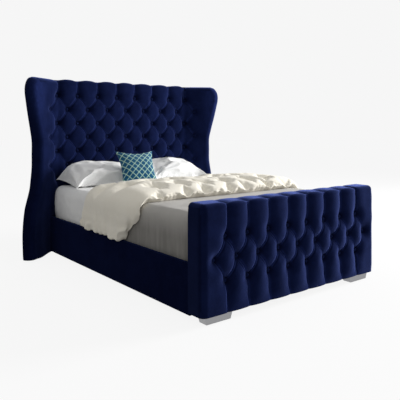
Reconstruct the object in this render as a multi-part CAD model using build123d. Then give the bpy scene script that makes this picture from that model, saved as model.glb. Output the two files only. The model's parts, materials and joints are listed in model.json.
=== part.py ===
from build123d import *
import os
from math import cos, radians, sin, sqrt

os.makedirs("parts", exist_ok=True)

# Wingback bed, in millimetres. X runs across the bed, Y from the foot to the head, Z up.
# The origin is on the floor, under the middle of the whole bed.

# Mattress that the bed is made for
mattress_length = 2000
mattress_width = 1500
mattress_depth = 300
mattress_corner = 80
mattress_edge = 45
mattress_end_gap = 19.5
mattress_side_gap = 10

# Heights above the floor
foot_height = 50
footboard_top = 675
rail_base = 34
rail_top = 328
mattress_base = 290
headboard_base = 30
headboard_top = 1525
tuft_pad_base = 400
lower_cover_base = 40

# Upholstery and clearances
rail_wrap = 8
end_wrap = 16
back_cover = 5
lower_cover = 4
touch = 0.3
slip = 0.5
overrun = 20

# Side rails
rail_board = 22
rail_step = 5

# Footboard
footboard_depth = 130
footboard_foam = 45
facing_board = 6
footboard_bar = 60
footboard_round = 26
footboard_end_round = 38

# Headboard
headboard_foam = 45
headboard_frame = 45
headboard_bar = 60
headboard_round = 32
headboard_cap = 32
post_width = 60
post_advance = 31
wing_root_inset = 35

# Deep buttoning
tuft_depth = 33
fold_width = 30
fold_depth = 12
dimple_mouth = 27
dimple_floor = 12.5
button_radius = 11
button_thickness = 7
button_crown = 3
headboard_row = 122.3
headboard_rows = 7
headboard_first_drop = 146
headboard_step_count = 7
footboard_tuft_margin = 97.8
footboard_row = 126.5
footboard_rows = 3
footboard_first_drop = 194
footboard_step_count = 8

# Wings, measured outwards along the wing from its root, and up from the floor
wing_angle = 33
wing_foam = 67
wing_board = 24
wing_back = 4.5
wing_rim = 25
wing_round = 28
wing_back_round = 8
wing_button_reach = 114
wing_button_depth = 24
wing_step = 5
wing_shoulder_reach = 279
wing_bulge_reach = 363
wing_neck_reach = 324
wing_waist_reach = 270
wing_hip_reach = 331
wing_flare_reach = 390
wing_toe_reach = 377
wing_toe_mid_reach = 387
wing_toe_heel = 290
wing_ogee_end = 100
wing_height_shares = (0.933, 0.786, 0.648, 0.49, 0.329, 0.135)
glide_height = 5
glide_radius = 11
glide_setback = 14
glide_spacing = 48
cleat_reach = 60
cleat_base = 80
cleat_drop = 73
wing_bolt_shares = (0.13, 0.52, 0.92)

# Sprung slats on ledgers and a centre rail
slat_count = 14
slat_width = 58
slat_thickness = 8
slat_bow = 14
slat_end_gap = 5
holder_wall = 3
holder_length = 44
ledger_width = 32
ledger_depth = 40
centre_rail_width = 50
centre_rail_depth = 80
leg_count = 3
leg_size = 45
leg_pad = 6
leg_pad_radius = 19

# Steel brackets and bolts
bracket_leg = 60
bracket_height = 150
bracket_plate = 4
bracket_centre_height = 200
bolt_radius = 4
bolt_head_radius = 7.5
bolt_head = 5.5
bolt_reach = 32
board_bolt_reach = 15
bolt_spread = 45
hanger_plate = 3
hanger_cheek = 45
screw_radius = 3
screw_head_radius = 6
screw_head = 4
screw_reach = 22

# Chrome feet
foot_length = 210
foot_depth = 62
foot_taper = 16
foot_edge = 4
foot_setback = 30
foot_end_inset = 36
foot_screw_spread = 130

# Bedding
sheet_thickness = 2
sheet_hem_drop = 20
throw_thickness = 5
throw_reach = 940
throw_tuck = 20
throw_fold_count = 7
throw_fold_width = 52
throw_fold_swell = 11
throw_fold_reach = 470
duvet_front = 531
duvet_width = 690
duvet_height = 88
duvet_hem_clear = 3
duvet_hang_right = 170
pillow_width = 700
pillow_depth = 405
pillow_height = 172
pillow_draw = 16
pillow_gap = 66
pillow_lean = 13
pillow_back_gap = 34
cushion_size = 340
cushion_height = 118
cushion_draw = 15
cushion_lean = 58
cushion_turn = -12
cushion_shift = -175
cushion_back_gap = 355

# Places that follow from the sizes above
inside_length = mattress_length + 2 * mattress_end_gap
headboard_depth = headboard_foam + facing_board + headboard_frame + back_cover
bed_length = footboard_depth + inside_length + headboard_depth
foot_front_y = -bed_length / 2
foot_rear_y = foot_front_y + footboard_depth
head_front_y = foot_rear_y + inside_length
head_facing_y = head_front_y + headboard_foam
head_frame_y = head_facing_y + facing_board
head_back_y = head_frame_y + headboard_frame
head_rear_y = head_back_y + back_cover
mattress_half = mattress_width / 2
mattress_foot_y = foot_rear_y + mattress_end_gap
mattress_head_y = mattress_foot_y + mattress_length
mattress_top = mattress_base + mattress_depth
board_inner_x = mattress_half + mattress_side_gap
board_outer_x = board_inner_x + rail_board
rail_outer_x = board_outer_x + rail_wrap
footboard_half = rail_outer_x + rail_step
post_outer_x = footboard_half
post_inner_x = post_outer_x - post_width
post_front_y = head_facing_y - post_advance
post_top = headboard_top - headboard_cap
button_plane_y = head_front_y + tuft_depth
slat_top = mattress_base - touch
ledger_top = slat_top - slat_bow - slat_thickness - holder_wall
wing_root_x = post_inner_x - wing_root_inset
headboard_pitch = 2 * wing_root_x / headboard_step_count
footboard_pitch = 2 * (footboard_half - footboard_tuft_margin) / footboard_step_count
headboard_first_row = headboard_top - headboard_first_drop
footboard_first_row = footboard_top - footboard_first_drop
wing_top = headboard_top - wing_step
cleat_top = post_top - cleat_drop
wing_run = (cos(radians(wing_angle)), -sin(radians(wing_angle)))
wing_out = (-sin(radians(wing_angle)), -cos(radians(wing_angle)))
board_face_n = tuft_depth - wing_foam
board_back_n = board_face_n - wing_board
wing_back_n = board_back_n - wing_back


# A block between two opposite corners.
def block(x0, x1, y0, y1, z0, z1):
    centre = ((x0 + x1) / 2, (y0 + y1) / 2, (z0 + z1) / 2)
    return Pos(*centre) * Box(abs(x1 - x0), abs(y1 - y0), abs(z1 - z0))


def mirrored(shape):
    return mirror(shape, about=Plane.YZ)


def both_sides(shapes):
    return shapes + [mirrored(shape) for shape in shapes]


# A block with rounded upright corners and rounded top and bottom edges.
def rounded_block(half_x, y0, y1, z0, z1, corner, edge):
    body = block(-half_x, half_x, y0, y1, z0, z1)
    body = fillet(body.edges().filter_by(Axis.Z), corner)
    rims = body.faces().sort_by(Axis.Z)[-1].edges() + body.faces().sort_by(Axis.Z)[0].edges()
    return fillet(rims, edge)


# A point of the right-hand wing: reach along the wing, and rise out of its front.
def wing_point(reach, rise):
    return (
        wing_root_x + reach * wing_run[0] + rise * wing_out[0],
        button_plane_y + reach * wing_run[1] + rise * wing_out[1],
    )


# Reach and rise on the wing of a point of the plan.
def wing_local(x, y):
    dx, dy = x - wing_root_x, y - button_plane_y
    return dx * wing_run[0] + dy * wing_run[1], dx * wing_out[0] + dy * wing_out[1]


# The upright plane of the wing at a given rise: its X is the reach and its Y the height.
def wing_plane(rise):
    x, y = wing_point(0, rise)
    return Plane(origin=(x, y, 0), x_dir=(wing_run[0], wing_run[1], 0), z_dir=(wing_out[0], wing_out[1], 0))


# V-shaped bar that presses a stitched fold into a padded face, between two points of the face.
def fold_cutter(face, start, end):
    across, up = end[0] - start[0], end[1] - start[1]
    run = sqrt(across * across + up * up)
    along = face.x_dir * (across / run) + face.y_dir * (up / run)
    origin = face.from_local_coords((start[0], start[1], 0))
    section = Plane(origin=origin, x_dir=face.z_dir.cross(along), z_dir=along)
    return extrude(section * fold_profile(1), run)


# Triangle of a fold, open past the surface by the overrun; side is 1 or -1 for its outer side.
def fold_profile(side):
    grow = (fold_depth + overrun) / fold_depth
    mouth = fold_width / 2 * grow
    top, tip = side * overrun, -side * fold_depth
    return make_face(Polyline((-mouth, top), (mouth, top), (0, tip), close=True))


# Fold that runs up a front face at one x, over the rounded edge and back across the top.
def pleat_cutter(x, front_y, from_z, top_z, back_y, radius):
    corner, end = (x, front_y, top_z), (x, back_y + overrun, top_z)
    path = FilletPolyline((x, front_y, from_z), corner, end, radius=radius)
    start = Plane(origin=(x, front_y, from_z), x_dir=(1, 0, 0), z_dir=(0, 0, 1))
    return sweep(start * fold_profile(-1), path=path)


def dimple_cutter(face, across, up, depth):
    slope = (dimple_mouth - dimple_floor) / depth
    cone = Cone(dimple_floor, dimple_mouth + slope * overrun, depth + overrun)
    return face * Pos(across, up, (overrun - depth) / 2) * cone


def button(face, across, up, depth):
    disc = Cylinder(button_radius, button_thickness)
    disc = fillet(disc.faces().sort_by(Axis.Z)[-1].edges(), button_crown)
    return face * Pos(across, up, button_thickness / 2 - depth) * disc


# Buttons of a staggered lattice as (half steps across, row); odd half steps come first.
def lattice(rows, most):
    spots = []
    for row in range(rows):
        first = 1 if row % 2 == 0 else 0
        steps = [k for k in range(-most, most + 1) if abs(k) % 2 == first]
        spots += [(k, row) for k in steps]
    return spots


# Diagonal runs of the lattice, each from its first button to its last.
def diagonal_runs(spots):
    runs = []
    for lean in (1, -1):
        for k, row in spots:
            if (k - lean, row - 1) in spots:
                continue
            end = 0
            while (k + lean * (end + 1), row + end + 1) in spots:
                end += 1
            if end > 0:
                runs.append(((k, row), (k + lean * end, row + end)))
    return runs


def front_face(y):
    return Plane(origin=(0, y, 0), x_dir=(1, 0, 0), z_dir=(0, -1, 0))


# Footboard: a timber ladder with a facing board, wrapped in one deep-buttoned pad.
def footboard_row_z(row):
    return footboard_first_row - row * footboard_row


footboard_core_y = foot_front_y + footboard_foam
footboard_frame_y = footboard_core_y + facing_board
footboard_back_y = foot_rear_y - back_cover
footboard_core_half = footboard_half - end_wrap
footboard_core_top = footboard_top - end_wrap


def footboard_pad():
    body = block(-footboard_half, footboard_half, foot_front_y, foot_rear_y, foot_height, footboard_top)
    front_ends = body.edges().filter_by(Axis.Z).sort_by(Axis.Y)[:2]
    body = fillet(front_ends, footboard_end_round)
    crown = [e for e in body.faces().sort_by(Axis.Z)[-1].edges() if e.center().Y < foot_rear_y - touch]
    body = fillet(crown, footboard_round)
    body -= block(
        -footboard_core_half, footboard_core_half, footboard_core_y, foot_rear_y + overrun,
        foot_height - overrun, footboard_core_top,
    )
    face = front_face(foot_front_y)
    spots = lattice(footboard_rows, footboard_step_count)
    step = footboard_pitch / 2
    cutters = [
        fold_cutter(face, (a[0] * step, footboard_row_z(a[1])), (b[0] * step, footboard_row_z(b[1])))
        for a, b in diagonal_runs(spots)
    ]
    for k in [k for k, row in spots if row == 0]:
        high, low = footboard_row_z(0), footboard_row_z(footboard_rows - 1)
        cutters.append(
            pleat_cutter(k * step, foot_front_y, high, footboard_top, foot_rear_y, footboard_round)
        )
        cutters.append(fold_cutter(face, (k * step, low), (k * step, foot_height - overrun)))
    cutters += [dimple_cutter(face, k * step, footboard_row_z(row), tuft_depth) for k, row in spots]
    return body - cutters


def footboard_buttons():
    face = front_face(foot_front_y)
    spots = lattice(footboard_rows, footboard_step_count)
    return [button(face, k * footboard_pitch / 2, footboard_row_z(row), tuft_depth) for k, row in spots]


def footboard_facing():
    return block(
        -footboard_core_half, footboard_core_half, footboard_core_y, footboard_frame_y,
        foot_height, footboard_core_top,
    )


def footboard_bar_between(z0, z1):
    bar = block(-footboard_core_half, footboard_core_half, footboard_frame_y, footboard_back_y, z0, z1)
    return bar - [screw_hole(x, foot_height) for x in foot_screw_xs()]


def footboard_posts():
    z0, z1 = foot_height + footboard_bar, footboard_core_top - footboard_bar
    outer = footboard_core_half
    inner = outer - footboard_bar
    end = block(inner, outer, footboard_frame_y, footboard_back_y, z0, z1) - bracket_bores(1)
    middle = block(-footboard_bar / 2, footboard_bar / 2, footboard_frame_y, footboard_back_y, z0, z1)
    return both_sides([end]) + [middle]


def footboard_back():
    panel = block(
        -footboard_core_half, footboard_core_half, footboard_back_y, foot_rear_y,
        foot_height, footboard_core_top,
    )
    return panel - both_sides(bracket_bores(1))


# Chrome feet under the footboard's bottom bar, each held by two screws from below.
foot_centre_x = footboard_half - foot_end_inset - foot_length / 2
foot_y0 = foot_front_y + foot_setback
foot_screw_y = foot_y0 + foot_depth / 2


def foot_screw_xs():
    return [side * (foot_centre_x + step * foot_screw_spread / 2) for side in (1, -1) for step in (1, -1)]


def screw_hole(x, z):
    length = screw_reach + touch
    return Pos(x, foot_screw_y, z + length / 2) * Cylinder(screw_radius, length)


def chrome_foot():
    half, low = foot_length / 2, foot_length / 2 - foot_taper
    profile = Plane.XZ.offset(-foot_y0) * Pos(foot_centre_x, 0) * make_face(
        Polyline((-half, foot_height), (-half, foot_height - foot_edge), (-low, 0))
        + Line((-low, 0), (low, 0))
        + Polyline((low, 0), (half, foot_height - foot_edge), (half, foot_height), (-half, foot_height))
    )
    body = extrude(profile, -foot_depth)
    body = fillet(body.edges().filter_by(Axis.Y), foot_edge / 2)
    for x in [x for x in foot_screw_xs() if x > 0]:
        body -= Pos(x, foot_screw_y, foot_height / 2) * Cylinder(screw_radius, foot_height + overrun)
        body -= Pos(x, foot_screw_y, 0) * Cylinder(screw_head_radius, 2 * foot_height - 4 * screw_head)
    return body


def foot_screws():
    seat = foot_height - 2 * screw_head
    screws = []
    for x in foot_screw_xs():
        shank = Pos(x, foot_screw_y, (seat + foot_height + screw_reach) / 2) * Cylinder(
            screw_radius - touch / 2, foot_height + screw_reach - seat
        )
        head = Pos(x, foot_screw_y, seat - screw_head / 2) * Cylinder(screw_head_radius - touch, screw_head)
        screws.append(shank + head)
    return screws


# Side rails: a timber board with a padded wrap over its outside, top and bottom.
def rail_board_part():
    board = block(
        board_inner_x, board_outer_x, foot_rear_y, post_front_y,
        rail_base + rail_wrap, rail_top - rail_wrap,
    )
    return board - bracket_board_bores()


def rail_cover():
    body = block(board_inner_x, rail_outer_x, foot_rear_y, post_front_y, rail_base, rail_top)
    body = fillet(body.edges().filter_by(Axis.Y).group_by(Axis.X)[-1], rail_wrap - touch)
    return body - block(
        board_inner_x - overrun, board_outer_x, foot_rear_y - overrun, post_front_y + overrun,
        rail_base + rail_wrap, rail_top - rail_wrap,
    )


def ledger():
    return block(
        board_inner_x - ledger_width, board_inner_x, foot_rear_y + bracket_leg, post_front_y - bracket_leg,
        ledger_top - ledger_depth, ledger_top,
    )


# Slats: bowed strips whose ends sit in plastic holders on the ledger and the centre rail.
slat_inner_x = slat_end_gap
slat_outer_x = board_inner_x - slat_end_gap
slat_pitch = mattress_length / (slat_count + 1)


def slat_ys():
    return [mattress_foot_y + (i + 1) * slat_pitch for i in range(slat_count)]


def slat():
    end_z = slat_top - slat_bow
    mid_x = (slat_inner_x + slat_outer_x) / 2
    flat = holder_length - holder_wall
    x0, x1 = slat_inner_x + flat, slat_outer_x - flat
    top = ThreePointArc((x0, end_z), (mid_x, slat_top), (x1, end_z))
    low_z = end_z - slat_thickness
    low = ThreePointArc((x1, low_z), (mid_x, slat_top - slat_thickness), (x0, low_z))
    side = make_face(
        Line((slat_inner_x, end_z), (x0, end_z)) + top
        + Polyline((x1, end_z), (slat_outer_x, end_z), (slat_outer_x, low_z), (x1, low_z))
        + low + Polyline((x0, low_z), (slat_inner_x, low_z), (slat_inner_x, end_z))
    )
    return Pos(0, slat_width / 2, 0) * extrude(Plane.XZ * side, slat_width)


def slat_holder(closed_x, way):
    z0, z1 = ledger_top, slat_top - slat_bow + holder_wall
    x0, x1 = sorted((closed_x, closed_x + way * holder_length))
    half = slat_width / 2 + holder_wall
    body = block(x0, x1, -half, half, z0, z1)
    open_x = closed_x + way * (holder_length + overrun)
    pocket = sorted((closed_x + way * holder_wall, open_x))
    inner = slat_width / 2 + touch
    body -= block(*pocket, -inner, inner, ledger_top + holder_wall, slat_top - slat_bow + touch / 2)
    return body


def slats():
    one = slat()
    return [Pos(0, y, 0) * one for y in slat_ys()]


def slat_holders():
    outer = slat_holder(slat_outer_x + holder_wall + touch, -1)
    inner = slat_holder(slat_inner_x - holder_wall - touch, 1)
    ones = [Pos(0, y, 0) * holder for y in slat_ys() for holder in (outer, inner)]
    return both_sides(ones)


# Centre rail, hung from both ends in steel hangers and carried by legs.
centre_foot_y = foot_rear_y + hanger_plate
centre_head_y = head_facing_y - lower_cover - hanger_plate
centre_base = ledger_top - centre_rail_depth


def centre_rail():
    half = centre_rail_width / 2
    return block(-half, half, centre_foot_y, centre_head_y, centre_base, ledger_top)


def rail_hanger(wall_y, way):
    half = centre_rail_width / 2
    wide = half + hanger_plate
    base = centre_base - hanger_plate
    plate = sorted((wall_y, wall_y + way * hanger_plate))
    arm = sorted((wall_y, wall_y + way * (hanger_plate + hanger_cheek)))
    body = block(-wide, wide, *plate, base, ledger_top - holder_wall)
    body += block(-wide, wide, *arm, base, centre_base)
    for side in (1, -1):
        x0, x1 = sorted((side * half, side * wide))
        body += block(x0, x1, *arm, base, ledger_top - holder_wall)
    return body


def leg_ys():
    gap = (centre_head_y - centre_foot_y) / (leg_count + 1)
    return [centre_foot_y + (i + 1) * gap for i in range(leg_count)]


def centre_legs():
    half = leg_size / 2
    return [block(-half, half, y - half, y + half, leg_pad, centre_base) for y in leg_ys()]


def leg_pads():
    return [Pos(0, y, leg_pad / 2) * Cylinder(leg_pad_radius, leg_pad) for y in leg_ys()]


# Corner brackets: steel angles between each rail board and the footboard or headboard post.
def bolt_heights():
    return [bracket_centre_height + side * bolt_spread for side in (1, -1)]


board_bolt_y = foot_rear_y + bracket_leg * 2 / 3
post_bolt_x = (post_inner_x + board_inner_x - bracket_plate) / 2
head_bolt_y = post_front_y - bracket_leg * 2 / 3


def corner_bracket(wall_y, way):
    z0 = bracket_centre_height - bracket_height / 2
    z1 = z0 + bracket_height
    leg = sorted((wall_y, wall_y + way * bracket_leg))
    flange = sorted((wall_y, wall_y + way * bracket_plate))
    body = block(board_inner_x - bracket_plate, board_inner_x, *leg, z0, z1)
    body += block(post_inner_x + touch, board_inner_x, *flange, z0, z1)
    return body - bracket_bores(0) - bracket_board_bores()


# Bores for the bolts into the posts at both ends; part 1 is the foot end alone.
def bracket_bores(foot_only):
    walls = (foot_rear_y,) if foot_only else (foot_rear_y, post_front_y)
    reach = 2 * (bolt_reach + touch)
    return [
        Pos(post_bolt_x, y, z) * Rot(X=90) * Cylinder(bolt_radius, reach)
        for y in walls for z in bolt_heights()
    ]


def bracket_board_bores():
    reach = 2 * (board_bolt_reach + touch)
    return [
        Pos(board_inner_x, y, z) * Rot(Y=90) * Cylinder(bolt_radius, reach)
        for y in (board_bolt_y, head_bolt_y) for z in bolt_heights()
    ]


# A hexagon-headed bolt along +Z, its head above the plane z = 0.
def hex_bolt(reach):
    head = extrude(RegularPolygon(bolt_head_radius, 6), bolt_head)
    shank = Pos(0, 0, -reach / 2) * Cylinder(bolt_radius - touch / 2, reach)
    return head + shank


def corner_bolts():
    bolts = []
    for z in bolt_heights():
        foot_seat = foot_rear_y + bracket_plate
        head_seat = post_front_y - bracket_plate
        side_seat = board_inner_x - bracket_plate
        bolts.append(Pos(post_bolt_x, foot_seat, z) * Rot(X=-90) * hex_bolt(bolt_reach))
        bolts.append(Pos(post_bolt_x, head_seat, z) * Rot(X=90) * hex_bolt(bolt_reach))
        for y in (board_bolt_y, head_bolt_y):
            bolts.append(Pos(side_seat, y, z) * Rot(Y=-90) * hex_bolt(board_bolt_reach))
    return both_sides(bolts)


# Headboard: posts and bars with a facing board, a deep-buttoned pad and a covered back.
def headboard_row_z(row):
    return headboard_first_row - row * headboard_row


valley_angle = wing_angle / 2
valley_in = (-sin(radians(valley_angle)), -cos(radians(valley_angle)))
valley_depth = tuft_depth / cos(radians(valley_angle))


# The plane where the headboard's pad meets the wing's, looking out along the wing.
def valley_plane():
    across = (cos(radians(valley_angle)), -sin(radians(valley_angle)), 0)
    return Plane(origin=(wing_root_x, button_plane_y, 0), x_dir=(0, 0, 1), z_dir=across)


# A face square to the valley, at the front of the two pads.
def valley_face():
    x = wing_root_x + valley_depth * valley_in[0]
    y = button_plane_y + valley_depth * valley_in[1]
    return Plane(origin=(x, y, 0), x_dir=(-valley_in[1], valley_in[0], 0), z_dir=(*valley_in, 0))


def valley_spots():
    return [headboard_row_z(row) for row in range(0, headboard_rows, 2)]


def valley_dimples():
    return [dimple_cutter(valley_face(), 0, z, valley_depth) for z in valley_spots()]


def headboard_pad():
    side = make_face(Polyline(
        (head_front_y, tuft_pad_base), (head_front_y, headboard_top), (head_back_y, headboard_top),
        (head_back_y, post_top), (head_facing_y, post_top), (head_facing_y, tuft_pad_base), close=True,
    ))
    wide = wing_root_x + headboard_foam
    body = extrude(Plane.YZ.offset(-wide) * side, 2 * wide)
    crown = body.edges().filter_by(Axis.X).sort_by(lambda e: e.center().Z - e.center().Y)[-1]
    body = fillet(crown, headboard_round)
    right = split(body, bisect_by=valley_plane(), keep=Keep.BOTTOM)
    half = split(right, bisect_by=Plane.YZ, keep=Keep.TOP)
    face = front_face(head_front_y)
    spots = lattice(headboard_rows, headboard_step_count)
    step = headboard_pitch / 2
    cutters = [
        fold_cutter(face, (a[0] * step, headboard_row_z(a[1])), (b[0] * step, headboard_row_z(b[1])))
        for a, b in diagonal_runs(spots) if a[0] + b[0] >= 0 or max(a[0], b[0]) > 0
    ]
    high, low = headboard_row_z(0), headboard_row_z(headboard_rows - 1)
    for k in [k for k, row in spots if row == 0 and 0 < k < headboard_step_count]:
        cutters.append(
            pleat_cutter(k * step, head_front_y, high, headboard_top, head_back_y, headboard_round)
        )
        cutters.append(fold_cutter(face, (k * step, low), (k * step, tuft_pad_base - overrun)))
    cutters += [
        dimple_cutter(face, k * step, headboard_row_z(row), tuft_depth)
        for k, row in spots if 0 <= k < headboard_step_count
    ]
    half = half - cutters - valley_dimples()
    return half + mirrored(half)


def headboard_buttons():
    face = front_face(head_front_y)
    spots = lattice(headboard_rows, headboard_step_count - 1)
    step = headboard_pitch / 2
    flat = [button(face, k * step, headboard_row_z(row), tuft_depth) for k, row in spots]
    turned = [button(valley_face(), 0, z, valley_depth) for z in valley_spots()]
    turned += [button(wing_plane(tuft_depth), wing_button_reach, z, wing_button_depth) for z in wing_spots()]
    return flat + both_sides(turned)


def headboard_facing():
    return block(-post_inner_x, post_inner_x, head_facing_y, head_frame_y, headboard_base, post_top)


def headboard_bar_at(z0):
    return block(-post_inner_x, post_inner_x, head_frame_y, head_back_y, z0, z0 + headboard_bar)


def bar_heights():
    top = post_top - headboard_bar
    return [headboard_base, tuft_pad_base, (tuft_pad_base + top) / 2, top]


def headboard_stiles():
    lows = bar_heights()
    half = headboard_bar / 2
    return [
        block(-half, half, head_frame_y, head_back_y, low + headboard_bar, high)
        for low, high in zip(lows[:-1], lows[1:])
    ]


def headboard_post():
    post = block(post_inner_x, post_outer_x, post_front_y, head_back_y, headboard_base, post_top)
    return post - bracket_bores(0)


def headboard_lower_cover():
    return block(
        -wing_root_x, wing_root_x, head_facing_y - lower_cover, head_facing_y,
        lower_cover_base, tuft_pad_base,
    )


def headboard_back():
    top = headboard_top - back_cover
    return block(-post_outer_x, post_outer_x, head_back_y, head_rear_y, headboard_base, top)


# Wings: a shaped board on each post, with a thick pad in front that wraps its rim.
wing_inner_reach = -headboard_foam


# Outline of the wing in reach and height, drawn in by an inset along its outer rim and top. Its
# turns from bulge to flare stand at shares of the wing's height.
def wing_outline(inset):
    top = wing_top - inset
    heights = [wing_top * share for share in wing_height_shares]
    head = (wing_shoulder_reach - inset, top)
    bulge = (wing_bulge_reach - inset, heights[0])
    neck = (wing_neck_reach - inset, heights[1])
    waist_high = (wing_waist_reach - inset, heights[2])
    waist_low = (wing_waist_reach - inset, heights[3])
    hip = (wing_hip_reach - inset, heights[4])
    flare = (wing_flare_reach - inset, heights[5])
    toe_mid = (wing_toe_mid_reach - inset, (flare[1] + glide_height) / 2)
    toe = (wing_toe_reach - inset, glide_height)
    heel = (wing_toe_heel, glide_height)
    ogee = (wing_ogee_end, headboard_base)
    return make_face(
        Polyline((wing_inner_reach, headboard_base), (wing_inner_reach, top), head)
        + Spline(head, bulge, neck, waist_high, tangents=[(1, 0), (0, -1)])
        + Line(waist_high, waist_low)
        + Spline(waist_low, hip, flare, tangents=[(0, -1), (0, -1)])
        + ThreePointArc(flare, toe_mid, toe)
        + Line(toe, heel)
        + Spline(heel, ogee, tangents=[(-1, 0), (-1, 0)])
        + Line(ogee, (wing_inner_reach, headboard_base))
    )


def wing_spots():
    return [headboard_row_z(row) for row in range(1, headboard_rows, 2)]


# Reach where the wing's board starts, just past the post's corner.
board_start = wing_local(post_outer_x, post_front_y)[0] + slip


def wing_pad():
    shoulder = tuft_depth - wing_round
    rims = [(wing_back_n, wing_back_round), (wing_back_n + wing_back_round, 0)]
    for degrees_up in (0, 30, 60, 90):
        turn = radians(degrees_up)
        rims.append((shoulder + wing_round * sin(turn), wing_round * (1 - cos(turn))))
    body = loft([wing_plane(rise) * wing_outline(inset) for rise, inset in rims], ruled=True)
    body = split(body, bisect_by=valley_plane(), keep=Keep.TOP)
    core = make_face(Polyline(
        (0, head_facing_y), (post_inner_x, head_facing_y), (post_inner_x, post_front_y),
        (post_outer_x, post_front_y), wing_point(board_start, board_face_n),
        wing_point(board_start, -bed_length / 2), (0, bed_length), close=True,
    ))
    body -= Pos(0, 0, -overrun) * extrude(core, post_top + overrun)
    depth = wing_foam + tuft_depth
    body -= extrude(wing_plane(board_face_n) * wing_outline(wing_rim), -depth)
    body -= block(0, post_outer_x + slip, 0, bed_length, -overrun, rail_top + rail_wrap)
    face = wing_plane(tuft_depth)
    for z_high, z_low in zip(valley_spots()[:-1], valley_spots()[1:]):
        middle = (wing_button_reach, (z_high + z_low) / 2)
        body -= [fold_cutter(face, (0, z_high), middle), fold_cutter(face, (0, z_low), middle)]
    body -= valley_dimples()
    body -= [dimple_cutter(face, wing_button_reach, z, wing_button_depth) for z in wing_spots()]
    return body


def wing_slice(high, low):
    panel = extrude(wing_plane(low) * wing_outline(wing_rim), high - low)
    x_dir = (wing_run[0], wing_run[1], 0)
    origin = wing_point(board_start, 0)
    start = Plane(origin=(*origin, 0), x_dir=(0, 0, 1), z_dir=x_dir)
    return split(panel, bisect_by=start, keep=Keep.TOP)


def wing_bolt_places():
    reach = board_start + cleat_reach / 2
    return [(reach, cleat_base + share * (cleat_top - cleat_base)) for share in wing_bolt_shares]


# A countersunk coach bolt of the wing at reach and height, its head flush in the board.
def wing_bolt(reach, z, grow):
    seat = wing_plane(board_face_n)
    head = Cylinder(bolt_head_radius + grow, bolt_head + grow)
    length = wing_board + wing_back + board_bolt_reach + grow
    shank = Cylinder(bolt_radius + grow, length)
    return (
        seat * Pos(reach, z, -(bolt_head + grow) / 2) * head
        + seat * Pos(reach, z, -length / 2) * shank
    )


def wing_bores():
    return [wing_bolt(reach, z, touch) for reach, z in wing_bolt_places()]


def wing_board_part():
    return wing_slice(board_face_n, board_back_n) - wing_bores()


def wing_back_part():
    return wing_slice(board_back_n, wing_back_n) - wing_bores()


# Timber wedge that fills the corner between the post's side and the back of the wing.
def wing_cleat():
    start = (wing_back_n - touch) * wing_out[1]
    x = post_outer_x + touch
    reach = (x - wing_root_x - (wing_back_n - touch) * wing_out[0]) / wing_run[0]
    near = (x, button_plane_y + start + reach * wing_run[1])
    far = wing_point(board_start + cleat_reach, wing_back_n - touch)
    plan = make_face(Polyline(near, far, (x, head_back_y - touch), close=True))
    return Pos(0, 0, cleat_base) * extrude(plan, cleat_top - cleat_base) - wing_bores()


def wing_glides():
    rise = (board_face_n + board_back_n) / 2
    last = wing_toe_reach - wing_rim - glide_setback
    glides = []
    for reach in (last, last - glide_spacing):
        x, y = wing_point(reach, rise)
        glides.append(Pos(x, y, glide_height / 2) * Cylinder(glide_radius, glide_height))
    return both_sides(glides)


# Bedding
sheet_inner = touch
sheet_outer = sheet_inner + sheet_thickness
throw_inner = sheet_outer + touch
throw_outer = throw_inner + throw_thickness
throw_hem = rail_top - throw_tuck
throw_back_y = mattress_foot_y + throw_reach


# The mattress's own form, grown outwards by a margin.
def mattress_form(grow, drop=0):
    return rounded_block(
        mattress_half + grow, mattress_foot_y - grow, mattress_head_y + grow,
        mattress_base - grow - drop, mattress_top + grow, mattress_corner + grow, mattress_edge + grow,
    )


def fitted_sheet():
    shell = mattress_form(sheet_outer) - mattress_form(sheet_inner)
    hem = rail_top - sheet_hem_drop
    return shell & block(-bed_length, bed_length, -bed_length, bed_length, hem, headboard_top)


# Section of a hanging fold: a shallow arc on a chord, lying in a level plane.
def fold_section(y, z, width, swell):
    x = -(mattress_half + throw_outer - throw_thickness / 2)
    return make_face(
        Pos(x, y, z) * (Line((0, -width / 2), (0, width / 2))
                        + ThreePointArc((0, width / 2), (-swell - throw_thickness / 2, 0), (0, -width / 2)))
    )


def throw():
    shell = mattress_form(throw_outer, mattress_edge) - mattress_form(throw_inner, mattress_edge)
    shell &= block(-bed_length, bed_length, -bed_length, throw_back_y, throw_hem, headboard_top)
    low = rail_top + throw_inner
    high = mattress_top - mattress_edge
    pitch = throw_fold_reach / throw_fold_count
    folds = []
    for i in range(throw_fold_count):
        y = mattress_foot_y + mattress_corner + i * pitch
        width = throw_fold_width * (1 - (i % 3) / 8)
        swell = throw_fold_swell * (1 - (i % 2) / 3)
        folds.append(loft([fold_section(y, low, width, swell), fold_section(y, high, width / 2, touch)]))
    return shell + both_sides(folds)


# Duvet: padded sections along a path that climbs one side of the bed, crosses it and hangs down the other.
duvet_lie = throw_outer + slip


# The two sections of a corner stand where the tangents of its quarter turn meet.
duvet_corner_share = 0.25


# Section plane on the path. The share is of the side's drop, of the corner's turn or of the top's
# half width.
def duvet_plane(part, share):
    corner_x = mattress_half - mattress_edge
    corner_z = mattress_top - mattress_edge
    radius = mattress_edge + duvet_lie
    if part == "left side":
        drop = corner_z - (rail_top + duvet_hem_clear)
        point, out = (-(mattress_half + duvet_lie), corner_z - share * drop), (-1, 0)
    elif part == "right side":
        point, out = (mattress_half + duvet_lie, corner_z - share * duvet_hang_right), (1, 0)
    elif part == "top":
        point, out = (share * corner_x, mattress_top + duvet_lie), (0, 1)
    else:
        side = -1 if part == "left corner" else 1
        turn = radians(90 * share)
        out = (side * sin(turn), cos(turn))
        reach = radius / cos(radians(90 * duvet_corner_share))
        point = (side * corner_x + reach * out[0], corner_z + reach * out[1])
    return Plane(origin=(point[0], 0, point[1]), x_dir=(0, 1, 0), z_dir=(out[1], 0, -out[0]))


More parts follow.
